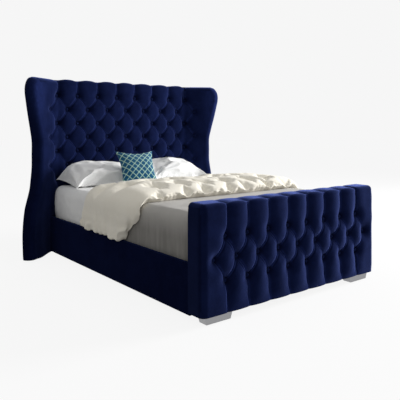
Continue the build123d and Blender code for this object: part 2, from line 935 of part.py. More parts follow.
# Each section: part of the path, its share, front and back edges as shares of the width, and height share.
duvet_section_shares = (
    ("left side", 1.0, 0.34, 1.27, 0.32),
    ("left side", 0.72, 0.22, 1.24, 0.52),
    ("left side", 0.30, 0.07, 1.14, 0.55),
    ("left side", 0.0, 0.02, 1.08, 0.60),
    ("left corner", 0.75, 0.01, 1.06, 0.68),
    ("left corner", 0.25, 0.0, 1.04, 0.82),
    ("top", -0.62, 0.02, 1.00, 1.0),
    ("top", -0.25, 0.0, 1.01, 0.94),
    ("top", 0.15, 0.01, 0.99, 1.0),
    ("top", 0.55, 0.0, 0.97, 0.95),
    ("right corner", 0.25, 0.02, 0.96, 0.82),
    ("right corner", 0.75, 0.03, 0.97, 0.68),
    ("right side", 0.0, 0.04, 0.98, 0.60),
    ("right side", 1.0, 0.08, 0.98, 0.32),
)
duvet_puff_shares = (0.0, 0.09, 0.33, 0.56, 0.79, 0.91, 1.0)
duvet_valley_share = 0.80
duvet_bulge_share = 0.035


def duvet_section(front, back, height):
    y0 = mattress_foot_y + duvet_front + front * duvet_width
    y1 = mattress_foot_y + duvet_front + back * duvet_width
    width = y1 - y0
    marks = [y0 + share * width for share in duvet_puff_shares]
    valley = height * duvet_valley_share
    bulge = duvet_bulge_share * width
    outline = Line((y1, 0), (y0, 0))
    outline += ThreePointArc((y0, 0), (marks[0] - bulge / 2, valley / 2), (marks[1], valley))
    for start, end in zip(marks[1:-2], marks[2:-1]):
        outline += ThreePointArc((start, valley), ((start + end) / 2, height), (end, valley))
    outline += ThreePointArc((marks[-2], valley), (marks[-1] + bulge / 2, valley / 2), (y1, 0))
    return make_face(outline)


def duvet():
    sections = []
    for part, share, front, back, height in duvet_section_shares:
        sections.append(duvet_plane(part, share) * duvet_section(front, back, height * duvet_height))
    return loft(sections, ruled=True)


# Pillow form, flat on its seam plane: four pointed corners, drawn-in sides and a crown on both faces.
# Each level: share of the half height, share of the outline, and share of the drawing in, which is
# negative where the sides swell out.
pillow_level_shares = (
    (-1.0, 0.36, -1.6), (-0.86, 0.66, -1.5), (-0.5, 0.87, -0.6), (-0.14, 0.965, 0.7), (0.0, 1.0, 1.0),
    (0.14, 0.965, 0.7), (0.5, 0.87, -0.6), (0.86, 0.66, -1.5), (1.0, 0.36, -1.6),
)


def pillow_form(width, depth, height, draw):
    levels = []
    for level, size, drawn in pillow_level_shares:
        a, b, d = width / 2 * size, depth / 2 * size, draw * drawn
        outline = (
            ThreePointArc((-a, -b), (0, d - b), (a, -b)) + ThreePointArc((a, -b), (a - d, 0), (a, b))
            + ThreePointArc((a, b), (0, b - d), (-a, b)) + ThreePointArc((-a, b), (d - a, 0), (-a, -b))
        )
        levels.append(Pos(0, 0, level * height / 2) * make_face(outline))
    return loft(levels, ruled=True)


# Turns a soft form and stands it on the sheet, with the back of its box at a given y.
def seated(form, turned, x, back_y):
    form = turned * form
    box = form.bounding_box()
    rest = mattress_top + sheet_outer + touch
    return Pos(x, back_y - box.max.Y, rest - box.min.Z) * form


def pillow(side):
    form = pillow_form(pillow_width, pillow_depth, pillow_height, pillow_draw)
    x = side * (pillow_width + pillow_gap) / 2
    return seated(form, Rot(X=pillow_lean), x, head_front_y - pillow_back_gap)


def cushion():
    form = pillow_form(cushion_size, cushion_size, cushion_height, cushion_draw)
    turned = Rot(Z=cushion_turn) * Rot(X=cushion_lean)
    return seated(form, turned, cushion_shift, head_front_y - cushion_back_gap)


parts = {
    "footboard_pad": footboard_pad(),
    "footboard_buttons": footboard_buttons(),
    "footboard_facing_board": footboard_facing(),
    "footboard_bottom_bar": footboard_bar_between(foot_height, foot_height + footboard_bar),
    "footboard_top_bar": footboard_bar_between(footboard_core_top - footboard_bar, footboard_core_top),
    "footboard_posts": footboard_posts(),
    "footboard_back_cover": footboard_back(),
    "chrome_foot_right": chrome_foot(),
    "chrome_foot_left": mirrored(chrome_foot()),
    "foot_screws": foot_screws(),
    "side_rail_board_right": rail_board_part(),
    "side_rail_board_left": mirrored(rail_board_part()),
    "side_rail_cover_right": rail_cover(),
    "side_rail_cover_left": mirrored(rail_cover()),
    "ledger_right": ledger(),
    "ledger_left": mirrored(ledger()),
    "slats_right": slats(),
    "slats_left": [mirrored(one) for one in slats()],
    "slat_holders": slat_holders(),
    "centre_rail": centre_rail(),
    "centre_rail_hangers": [rail_hanger(foot_rear_y, 1), rail_hanger(head_facing_y - lower_cover, -1)],
    "centre_legs": centre_legs(),
    "leg_pads": leg_pads(),
    "corner_brackets_foot": both_sides([corner_bracket(foot_rear_y, 1)]),
    "corner_brackets_head": both_sides([corner_bracket(post_front_y, -1)]),
    "corner_bolts": corner_bolts(),
    "headboard_pad": headboard_pad(),
    "headboard_buttons": headboard_buttons(),
    "headboard_facing_board": headboard_facing(),
    "headboard_bottom_bar": headboard_bar_at(bar_heights()[0]),
    "headboard_lower_bar": headboard_bar_at(bar_heights()[1]),
    "headboard_middle_bar": headboard_bar_at(bar_heights()[2]),
    "headboard_top_bar": headboard_bar_at(bar_heights()[3]),
    "headboard_stiles": headboard_stiles(),
    "headboard_post_right": headboard_post(),
    "headboard_post_left": mirrored(headboard_post()),
    "headboard_lower_cover": headboard_lower_cover(),
    "headboard_back_cover": headboard_back(),
    "wing_pad_right": wing_pad(),
    "wing_pad_left": mirrored(wing_pad()),
    "wing_board_right": wing_board_part(),
    "wing_board_left": mirrored(wing_board_part()),
    "wing_back_cover_right": wing_back_part(),
    "wing_back_cover_left": mirrored(wing_back_part()),
    "wing_cleat_right": wing_cleat(),
    "wing_cleat_left": mirrored(wing_cleat()),
    "wing_bolts": both_sides([wing_bolt(reach, z, 0) for reach, z in wing_bolt_places()]),
    "wing_glides": wing_glides(),
    "mattress": mattress_form(0),
    "fitted_sheet": fitted_sheet(),
    "throw": throw(),
    "duvet": duvet(),
    "pillow_right": pillow(1),
    "pillow_left": pillow(-1),
    "cushion": cushion(),
}

for node, shape in parts.items():
    export_step(Compound(children=shape) if isinstance(shape, list) else shape, f"parts/{node}.step")
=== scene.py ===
import json
from math import cos, sin, tan, pi, radians
import bpy
import bmesh
import numpy as np
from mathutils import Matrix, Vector

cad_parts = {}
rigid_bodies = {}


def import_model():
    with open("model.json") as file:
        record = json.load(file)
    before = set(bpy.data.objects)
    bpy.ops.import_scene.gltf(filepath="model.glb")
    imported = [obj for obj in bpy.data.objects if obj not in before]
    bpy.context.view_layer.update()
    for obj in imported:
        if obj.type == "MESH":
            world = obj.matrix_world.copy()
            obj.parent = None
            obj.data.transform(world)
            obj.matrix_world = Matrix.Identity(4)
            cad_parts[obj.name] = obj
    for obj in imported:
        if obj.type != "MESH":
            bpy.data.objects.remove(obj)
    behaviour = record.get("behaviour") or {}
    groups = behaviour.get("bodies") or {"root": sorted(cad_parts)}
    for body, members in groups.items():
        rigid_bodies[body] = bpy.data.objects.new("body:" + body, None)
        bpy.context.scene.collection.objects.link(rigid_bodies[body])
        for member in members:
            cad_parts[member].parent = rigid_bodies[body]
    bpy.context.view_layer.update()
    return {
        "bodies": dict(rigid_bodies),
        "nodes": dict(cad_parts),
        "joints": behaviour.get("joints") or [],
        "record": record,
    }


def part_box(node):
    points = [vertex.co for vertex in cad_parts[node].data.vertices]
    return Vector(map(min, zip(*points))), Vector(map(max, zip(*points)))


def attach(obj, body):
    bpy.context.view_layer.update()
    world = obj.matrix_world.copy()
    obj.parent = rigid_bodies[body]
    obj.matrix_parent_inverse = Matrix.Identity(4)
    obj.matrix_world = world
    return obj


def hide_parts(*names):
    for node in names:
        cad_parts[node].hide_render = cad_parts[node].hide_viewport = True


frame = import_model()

scene = bpy.context.scene
print("stage: frame loaded")


# Sum of cosine waves in random directions, each about one size long, from about -1 to 1.
def ripple(x, y, size, seed, count=7):
    draw = np.random.default_rng(seed)
    total = np.zeros(np.broadcast(x, y).shape)
    for angle, phase, stretch in zip(draw.uniform(0, pi, count), draw.uniform(0, 2 * pi, count),
                                     draw.uniform(0.6, 1.7, count)):
        total += np.cos(2 * pi / (size * stretch) * (x * cos(angle) + y * sin(angle)) + phase)
    return total / (1.2 * count ** 0.5)


# Nought below the first edge, one above the second, and a smooth S between.
def smooth(low, high, value):
    share = np.clip((value - low) / (high - low), 0, 1)
    return share * share * (3 - 2 * share)


# Cubic line through knots, its slope at each knot the mean slope of its neighbours.
def flow(at, knots, values):
    knots, values = np.asarray(knots, float), np.asarray(values, float)
    slopes = np.gradient(values, knots)
    i = np.clip(np.searchsorted(knots, at) - 1, 0, len(knots) - 2)
    gap = knots[i + 1] - knots[i]
    t = np.clip((at - knots[i]) / gap, 0, 1)
    rise = values[i + 1] - values[i]
    bend = slopes[i] * gap * t * (1 - t) ** 2 - slopes[i + 1] * gap * t * t * (1 - t)
    return values[i] + rise * t * t * (3 - 2 * t) + bend


# Cells of a grid of points, row by row: quads, or two triangles each where leans are given.
# A cell leans forward when it is split from its first corner to the far one.
def gridCells(rows, columns, wrapRows=False, wrapColumns=False, leans=None, first=0):
    r, c = np.meshgrid(np.arange(rows if wrapRows else rows - 1),
                       np.arange(columns if wrapColumns else columns - 1), indexing="ij")
    r1, c1 = (r + 1) % rows, (c + 1) % columns
    a, b, d, e = [first + row * columns + column for row, column in ((r, c), (r, c1), (r1, c1), (r1, c))]
    if leans is None:
        return [np.stack([a, b, d, e], -1).reshape(-1, 4)]
    one = np.where(leans[..., None], np.stack([a, b, d], -1), np.stack([a, b, e], -1))
    two = np.where(leans[..., None], np.stack([a, d, e], -1), np.stack([b, d, e], -1))
    return [one.reshape(-1, 3), two.reshape(-1, 3)]


# A mesh object from points and lists of cells, with doubles merged and faces turned outwards.
def makePiece(name, points, cells, finish, body, stands=(), marks=None, uv=None, weld=2e-5, crease=70):
    mesh = bpy.data.meshes.new(name)
    points = np.asarray(points, float).reshape(-1, 3)
    sizes = np.concatenate([np.full(len(f), f.shape[1]) for f in cells])
    corners = np.concatenate([f.reshape(-1) for f in cells]).astype(np.int32)
    mesh.vertices.add(len(points))
    mesh.vertices.foreach_set("co", points.astype(np.float32).ravel())
    mesh.loops.add(len(corners))
    mesh.loops.foreach_set("vertex_index", corners)
    mesh.polygons.add(len(sizes))
    mesh.polygons.foreach_set("loop_start", (np.cumsum(sizes) - sizes).astype(np.int32))
    mesh.update(calc_edges=True)
    for mark, values in (marks or {}).items():
        layer = mesh.attributes.new(mark, "FLOAT", "POINT")
        layer.data.foreach_set("value", values.astype(np.float32).ravel())
    if uv is not None:
        flat = mesh.uv_layers.new(name="flat")
        flat.data.foreach_set("uv", uv.reshape(-1, 2)[corners].astype(np.float32).ravel())
    work = bmesh.new()
    work.from_mesh(mesh)
    bmesh.ops.remove_doubles(work, verts=work.verts, dist=weld)
    bmesh.ops.recalc_face_normals(work, faces=work.faces)
    work.to_mesh(mesh)
    work.free()
    mesh.shade_smooth()
    mesh.set_sharp_from_angle(angle=radians(crease))
    piece = bpy.data.objects.new(name, mesh)
    scene.collection.objects.link(piece)
    mesh.materials.append(finishes[finish])
    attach(piece, body)
    if stands:
        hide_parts(*stands)
    return piece


# Left-hand copy of a set of points.
def mirrored(points):
    return points * np.array([-1, 1, 1])


# Materials. A tree's node is added by kind, with its inputs given by name or number.
def addNode(tree, kind, settings=None, **inputs):
    node = tree.nodes.new("ShaderNode" + kind)
    for key, value in (settings or {}).items():
        setattr(node, key, value)
    for key, value in inputs.items():
        socket = node.inputs[int(key[1:])] if key[0] == "n" and key[1:].isdigit() else node.inputs[key]
        if isinstance(value, bpy.types.NodeSocket):
            tree.links.new(value, socket)
        else:
            socket.default_value = value
    return node


# Result of one sum on up to three numbers or sockets.
def mathNode(tree, operation, first, second=0.0, third=0.0):
    return addNode(tree, "Math", {"operation": operation}, n0=first, n1=second, n2=third).outputs[0]


# Mixes two colours by a factor.
def mixColour(tree, factor, first, second):
    return addNode(tree, "Mix", {"data_type": "RGBA"}, n0=factor, n6=first, n7=second).outputs[2]


# A node group with named inputs and outputs, each given as (name, kind, default).
def newGroup(name, inputs, outputs):
    tree = bpy.data.node_groups.new(name, "ShaderNodeTree")
    for label, kind, value in inputs:
        socket = tree.interface.new_socket(label, in_out="INPUT", socket_type="NodeSocket" + kind)
        if value is not None:
            socket.default_value = value
    for label, kind in outputs:
        tree.interface.new_socket(label, in_out="OUTPUT", socket_type="NodeSocket" + kind)
    return tree, tree.nodes.new("NodeGroupInput").outputs, tree.nodes.new("NodeGroupOutput").inputs


# Outputs of a group placed in a tree, its inputs given by name.
def useGroup(tree, group, **inputs):
    node = tree.nodes.new("ShaderNodeGroup")
    node.node_tree = group
    for key, value in inputs.items():
        if isinstance(value, bpy.types.NodeSocket):
            tree.links.new(value, node.inputs[key])
        else:
            node.inputs[key].default_value = value
    return node.outputs


# Mottle: soft clouds of one size with finer clouds over them, from 0 to 1.
def makeMottleGroup():
    tree, given, out = newGroup("mottle", [("Vector", "Vector", None), ("Scale", "Float", 5.0)],
                                [("Mask", "Float")])
    broad = addNode(tree, "TexNoise", Vector=given["Vector"], Scale=given["Scale"], Detail=2.0)
    finer = mathNode(tree, "MULTIPLY", given["Scale"], 4.3)
    fine = addNode(tree, "TexNoise", Vector=given["Vector"], Scale=finer, Detail=3.0)
    both = mathNode(tree, "ADD", mathNode(tree, "MULTIPLY", broad.outputs[0], 0.65),
                    mathNode(tree, "MULTIPLY", fine.outputs[0], 0.35))
    spread = addNode(tree, "MapRange", {"clamp": True}, Value=both, n1=0.32, n2=0.68, n3=0.0, n4=1.0)
    tree.links.new(spread.outputs[0], out["Mask"])
    return tree


# Weave: the product of two sines at right angles, from 0 to 1.
def makeWeaveGroup():
    tree, given, out = newGroup("weave", [("Vector", "Vector", None), ("Threads", "Float", 1000.0)],
                                [("Height", "Float")])
    place = addNode(tree, "SeparateXYZ", n0=given["Vector"]).outputs
    lines = [mathNode(tree, "SINE", mathNode(tree, "MULTIPLY", place[axis], given["Threads"]))
             for axis in ("X", "Y")]
    crossed = mathNode(tree, "MULTIPLY", lines[0], lines[1])
    tree.links.new(mathNode(tree, "MULTIPLY_ADD", crossed, 0.5, 0.5), out["Height"])
    return tree


# Grain: long bands drawn out along one axis, with fine pores, from 0 to 1.
def makeGrainGroup():
    inputs = [("Vector", "Vector", None), ("Stretch", "Vector", (1.0, 1.0, 1.0))]
    tree, given, out = newGroup("grain", inputs, [("Mask", "Float"), ("Pores", "Float")])
    drawn = addNode(tree, "VectorMath", {"operation": "MULTIPLY"}, n0=given["Vector"], n1=given["Stretch"])
    broad = addNode(tree, "TexNoise", Vector=drawn.outputs[0], Scale=9.0, Detail=4.0, Distortion=0.8)
    pores = addNode(tree, "TexNoise", Vector=drawn.outputs[0], Scale=160.0, Detail=2.0)
    bands = mathNode(tree, "FRACT", mathNode(tree, "MULTIPLY", broad.outputs[0], 7.0))
    soft = mathNode(tree, "PINGPONG", bands, 0.5)
    tree.links.new(mathNode(tree, "MULTIPLY", soft, 2.0), out["Mask"])
    tree.links.new(pores.outputs[0], out["Pores"])
    return tree


groups = {"mottle": makeMottleGroup(), "weave": makeWeaveGroup(), "grain": makeGrainGroup()}
finishes = {}


# A new material with its tree, its shader and its object coordinates.
def newFinish(name, **settings):
    material = bpy.data.materials.new(name)
    material.use_nodes = True
    tree = material.node_tree
    shader = tree.nodes["Principled BSDF"]
    for key, value in settings.items():
        shader.inputs[key.replace("_", " ")].default_value = value
    finishes[name] = material
    return tree, shader, addNode(tree, "TexCoord").outputs


# Bump from a height, its distance in metres.
def setBump(tree, shader, height, distance, strength=1.0, under=None):
    node = addNode(tree, "Bump", Strength=strength, Distance=distance, Height=height)
    if under is not None:
        tree.links.new(under, node.inputs["Normal"])
    tree.links.new(node.outputs[0], shader.inputs["Normal"])


# A mark on the mesh, by name.
def markNode(tree, name):
    return addNode(tree, "Attribute", {"attribute_name": name}).outputs["Fac"]


# Velvet colours: deep and main blue, a pale painted highlight, a near-black painted shade, and sheen tints,
# the rails' dimmer as painted shade.
velvet = {
    "deep": (0.0018, 0.0030, 0.014, 1), "main": (0.0064, 0.0110, 0.048, 1), "highlight": (0.018, 0.030, 0.13, 1),
    "paintedShade": (0.0006, 0.0010, 0.006, 1), "sheenTint": (0.14, 0.195, 0.56, 1),
    "shadedRailTint": (0.03, 0.045, 0.15, 1), "sheen": 1.0, "sheenRoughness": 0.37, "roughness": 0.85,
    "cloudScale": 9.0, "highlightCloudScale": 34.0, "seamShade": 0.7, "pileDepth": 0.0004, "streakDepth": 0.0012,
    "pileScale": 900.0, "streakScale": 60.0,
}


# Velvet: deep and main blue mixed by clouds, darker with painted shade and along seams, paler with
# painted highlights broken by clouds, with a fine pile and streaks as bump and a soft sheen.
def makeVelvet(name, sheenTint):
    tree, shader, coords = newFinish(
        name, Sheen_Weight=velvet["sheen"], Sheen_Roughness=velvet["sheenRoughness"], Sheen_Tint=sheenTint,
        Roughness=velvet["roughness"], Specular_IOR_Level=0.0)
    place = coords["Object"]
    clouds, highlightShare = [useGroup(tree, groups["mottle"], Vector=place, Scale=velvet[scale])["Mask"]
                       for scale in ("cloudScale", "highlightCloudScale")]
    blend = mathNode(tree, "MULTIPLY_ADD", clouds, 0.5, 0.35)
    base = mixColour(tree, blend, velvet["deep"], velvet["main"])
    seam = mathNode(tree, "MULTIPLY", markNode(tree, "seam"), velvet["seamShade"])
    shadeAndSeam = mathNode(tree, "MAXIMUM", markNode(tree, "paintedShade"), seam)
    shaded = mixColour(tree, shadeAndSeam, base, velvet["paintedShade"])
    highlightShare = mathNode(tree, "MULTIPLY_ADD", highlightShare, 0.4, 0.25)
    highlightMask = mathNode(tree, "MULTIPLY", markNode(tree, "paintedHighlight"), highlightShare)
    tree.links.new(mixColour(tree, highlightMask, shaded, velvet["highlight"]), shader.inputs["Base Color"])
    pile = addNode(tree, "TexNoise", Vector=place, Scale=velvet["pileScale"], Detail=2.0).outputs[0]
    streaks = addNode(tree, "TexNoise", Vector=place, Scale=velvet["streakScale"], Detail=3.0).outputs[0]
    under = addNode(tree, "Bump", Strength=0.5, Distance=velvet["streakDepth"], Height=streaks).outputs[0]
    setBump(tree, shader, pile, velvet["pileDepth"], 0.5, under)


# Two colours, the turn of the weave's sines for one unit of the flat coordinates, and the depth of
# the small creases.
cottons = {
    "white_cotton": ((0.84, 0.84, 0.83, 1), (0.78, 0.78, 0.78, 1), 2400.0, 0.0012),
    "cream_cotton": ((0.89, 0.85, 0.75, 1), (0.80, 0.75, 0.635, 1), 1900.0, 0.0014),
    "grey_cotton": ((0.42, 0.405, 0.38, 1), (0.34, 0.33, 0.31, 1), 1300.0, 0.0012),
    "teal_trellis": ((0.006, 0.095, 0.20, 1), (0.003, 0.05, 0.12, 1), 2600.0, 0.0006),
    "ticking": ((0.72, 0.7, 0.65, 1), (0.62, 0.6, 0.55, 1), 2200.0, 0.0006),
}
weaveDepth, cottonCloudScale = 0.0003, 7.0


# Cotton: a plain colour with faint clouds and creases, and a fine weave as bump.
def makeCotton(name):
    colour, shade, threads, crease = cottons[name]
    tree, shader, coords = newFinish(name, Roughness=0.9, Sheen_Weight=0.15, Sheen_Roughness=0.5,
                                     Specular_IOR_Level=0.2)
    clouds = useGroup(tree, groups["mottle"], Vector=coords["Object"], Scale=cottonCloudScale)["Mask"]
    mixed = mixColour(tree, mathNode(tree, "MULTIPLY", clouds, 0.5), colour, shade)
    tree.links.new(mixed, shader.inputs["Base Color"])
    weave = useGroup(tree, groups["weave"], Vector=coords["UV"], Threads=threads)["Height"]
    slubs = addNode(tree, "TexNoise", Vector=coords["Object"], Scale=45.0, Detail=4.0).outputs[0]
    under = addNode(tree, "Bump", Strength=0.5, Distance=crease, Height=slubs).outputs[0]
    setBump(tree, shader, weave, weaveDepth, 0.4, under)
    return tree, shader, coords, mixed


throwShade = {"hang": (0.155, 0.149, 0.138, 1), "stretch": (9.0, 9.0, 0.9), "scale": 4.0}


# Throw's cloth: grey cotton darkened down its hanging side by painted shade, with streaks along the drop.
def makeThrowCloth():
    tree, shader, coords, mixed = makeCotton("grey_cotton")
    t = throwShade
    drawn = addNode(tree, "VectorMath", {"operation": "MULTIPLY"}, n0=coords["Object"], n1=t["stretch"])
    streaks = addNode(tree, "TexNoise", Vector=drawn.outputs[0], Scale=t["scale"], Detail=5.0).outputs[0]
    spread = addNode(tree, "MapRange", {"clamp": True}, Value=streaks, n1=0.35, n2=0.7, n3=0.85, n4=0.62)
    factor = mathNode(tree, "MULTIPLY", markNode(tree, "hang"), spread.outputs[0])
    tree.links.new(mixColour(tree, factor, mixed, t["hang"]), shader.inputs["Base Color"])


trellis = {"line": (0.50, 0.74, 0.56, 1), "across": 5.6, "down": 5.4, "lineWidth": 0.065, "washScale": 30.0}


# Trellis: lines where the sum or the difference of the two flat coordinates comes to a whole number.
def makeTrellis():
    tree, shader, coords, mixed = makeCotton("teal_trellis")
    place = addNode(tree, "SeparateXYZ", n0=coords["UV"]).outputs
    across = mathNode(tree, "MULTIPLY", place["X"], trellis["across"])
    down = mathNode(tree, "MULTIPLY", place["Y"], trellis["down"])
    masks = []
    for operation in ("ADD", "SUBTRACT"):
        line = mathNode(tree, "PINGPONG", mathNode(tree, operation, across, down), 0.5)
        masks.append(mathNode(tree, "LESS_THAN", line, trellis["lineWidth"]))
    lines = mathNode(tree, "MAXIMUM", masks[0], masks[1])
    wash = useGroup(tree, groups["mottle"], Vector=coords["Object"], Scale=trellis["washScale"])["Mask"]
    ground = cottons["teal_trellis"][0]
    pale = mixColour(tree, mathNode(tree, "MULTIPLY", wash, 0.25), trellis["line"], ground)
    tree.links.new(mixColour(tree, lines, mixed, pale), shader.inputs["Base Color"])


stripes = {"colour": (0.3, 0.34, 0.4, 1), "perMetre": 28.0, "halfWidth": 0.08}


# Ticking: cream cloth with narrow grey stripes along the mattress, one at each whole count across.
def makeTicking():
    tree, shader, coords, mixed = makeCotton("ticking")
    place = addNode(tree, "SeparateXYZ", n0=coords["Object"]).outputs
    stripe = mathNode(tree, "PINGPONG", mathNode(tree, "MULTIPLY", place["X"], stripes["perMetre"]), 0.5)
    mask = mathNode(tree, "LESS_THAN", stripe, stripes["halfWidth"])
    tree.links.new(mixColour(tree, mask, mixed, stripes["colour"]), shader.inputs["Base Color"])


# Timber: pale and dark bands of grain, rough, with pores as bump.
def makeTimber(name, pale, dark, stretch, roughness):
    tree, shader, coords = newFinish(name, Roughness=roughness)
    grain = useGroup(tree, groups["grain"], Vector=coords["Object"], Stretch=stretch)
    clouds = useGroup(tree, groups["mottle"], Vector=coords["Object"], Scale=3.0)["Mask"]
    factor = mathNode(tree, "MULTIPLY_ADD", grain["Mask"], 0.6, mathNode(tree, "MULTIPLY", clouds, 0.3))
    tree.links.new(mixColour(tree, factor, pale, dark), shader.inputs["Base Color"])
    setBump(tree, shader, grain["Pores"], 0.0004, 0.5)


# Metal or plastic: a colour, its roughness broken by clouds, with fine scratches as bump.
def makeMetal(name, colour, low, high, metallic=1.0):
    tree, shader, coords = newFinish(name, Base_Color=colour, Metallic=metallic)
    clouds = useGroup(tree, groups["mottle"], Vector=coords["Object"], Scale=40.0)["Mask"]
    rough = addNode(tree, "MapRange", Value=clouds, n1=0.0, n2=1.0, n3=low, n4=high)
    tree.links.new(rough.outputs[0], shader.inputs["Roughness"])
    scratches = addNode(tree, "TexNoise", Vector=coords["Object"], Scale=240.0, Detail=2.0).outputs[0]
    setBump(tree, shader, scratches, 0.00008, 0.3)


backCloth = {"dark": (0.006, 0.006, 0.008, 1), "pale": (0.022, 0.022, 0.026, 1)}


# Back cloth: black felted sheet, its grey mixed by fine fibres and clouds, with the fibres as bump.
def makeBackCloth():
    tree, shader, coords = newFinish("back_cloth", Roughness=0.95, Specular_IOR_Level=0.15)
    fibres = addNode(tree, "TexNoise", Vector=coords["Object"], Scale=420.0, Detail=4.0).outputs[0]
    clouds = useGroup(tree, groups["mottle"], Vector=coords["Object"], Scale=12.0)["Mask"]
    factor = mathNode(tree, "MULTIPLY_ADD", fibres, 0.6, mathNode(tree, "MULTIPLY", clouds, 0.3))
    mixed = mixColour(tree, factor, backCloth["dark"], backCloth["pale"])
    tree.links.new(mixed, shader.inputs["Base Color"])
    setBump(tree, shader, fibres, 0.0006, 0.6)


makeVelvet("velvet", velvet["sheenTint"])
# A copy of the velvet for the rail covers, its sheen dimmed so they read darker, as painted shade.
makeVelvet("shaded_rail_velvet", velvet["shadedRailTint"])
makeCotton("white_cotton")
makeCotton("cream_cotton")
makeThrowCloth()
makeTrellis()
makeTicking()
makeTimber("timber", (0.62, 0.43, 0.25, 1), (0.42, 0.26, 0.13, 1), (1.0, 1.0, 0.12), 0.7)
makeTimber("board", (0.55, 0.42, 0.28, 1), (0.44, 0.32, 0.2, 1), (3.0, 3.0, 3.0), 0.8)
makeTimber("birch", (0.78, 0.62, 0.42, 1), (0.62, 0.45, 0.27, 1), (0.1, 1.0, 1.0), 0.5)
makeMetal("chrome", (0.30, 0.30, 0.31, 1), 0.08, 0.2)
makeMetal("steel", (0.42, 0.43, 0.45, 1), 0.3, 0.5)
makeMetal("black_plastic", (0.012, 0.012, 0.013, 1), 0.35, 0.55, 0.0)
makeBackCloth()
print("stage: finishes made")

cadFinishes = {
    "velvet": ("headboard_buttons", "footboard_buttons"),
    "timber": ("footboard_bottom_bar", "footboard_top_bar", "footboard_posts", "side_rail_board_right",
               "side_rail_board_left", "ledger_right", "ledger_left", "centre_legs", "headboard_bottom_bar",
               "headboard_lower_bar", "headboard_middle_bar", "headboard_top_bar", "headboard_stiles",
               "headboard_post_right", "headboard_post_left", "wing_cleat_right", "wing_cleat_left",
               "centre_rail"),
    "board": ("footboard_facing_board", "headboard_facing_board", "wing_board_right", "wing_board_left"),
    "birch": ("slats_right", "slats_left"),
    "chrome": ("chrome_foot_right", "chrome_foot_left"),
    "steel": ("foot_screws", "centre_rail_hangers", "corner_brackets_foot", "corner_brackets_head",
              "corner_bolts", "wing_bolts"),
    "black_plastic": ("slat_holders", "leg_pads", "wing_glides"),
}
for finish, names in cadFinishes.items():
    for name in names:
        node = frame["nodes"][name]
        node.data.materials.clear()
        node.data.materials.append(finishes[finish])

tufting = {
    "fold": 0.014, "pit": 0.024, "pitReach": 0.034, "buttonRadius": 0.008, "edgePit": 0.55, "roll": 2.2,
    "shoulder": 0.5, "channel": 0.030, "channelShoulder": 0.8, "topKeep": 0.75, "topBlend": 0.04,
    "tuck": 0.0045, "tuckAt": 0.0125, "tuckWidth": 0.0034, "tuckFrom": (0.022, 0.045), "glowAt": 0.0045,
    "foldGlow": 0.0055, "glowFrom": (0.016, 0.04), "foldShade": 0.0045, "pitShade": 0.026,
    "tuckDark": 0.75, "foldDark": 0.85, "pitDark": 0.95, "creaseHeight": 0.0012,
}
headPlan = {"half": 0.100, "row": 0.1223, "first": 1.379, "last": 6, "steps": 20}
footPlan = {"half": 0.08715, "row": 0.1265, "first": 0.481, "last": 2, "steps": 16}
zigzagInner, zigzagOuter = 7, 8


# Rise of a puff across its width: nought at both folds, steep beside them and one in the middle.
def puffRise(share, shoulder=tufting["shoulder"]):
    return (1 - np.abs(2 * share - 1) ** tufting["roll"]) ** shoulder


# Distance of points from the straight line between two others.
def lineDistance(x, y, start, end):
    dx, dy = end[0] - start[0], end[1] - start[1]
    share = np.clip(((x - start[0]) * dx + (y - start[1]) * dy) / (dx * dx + dy * dy), 0, 1)
    return np.hypot(x - start[0] - share * dx, y - start[1] - share * dy)


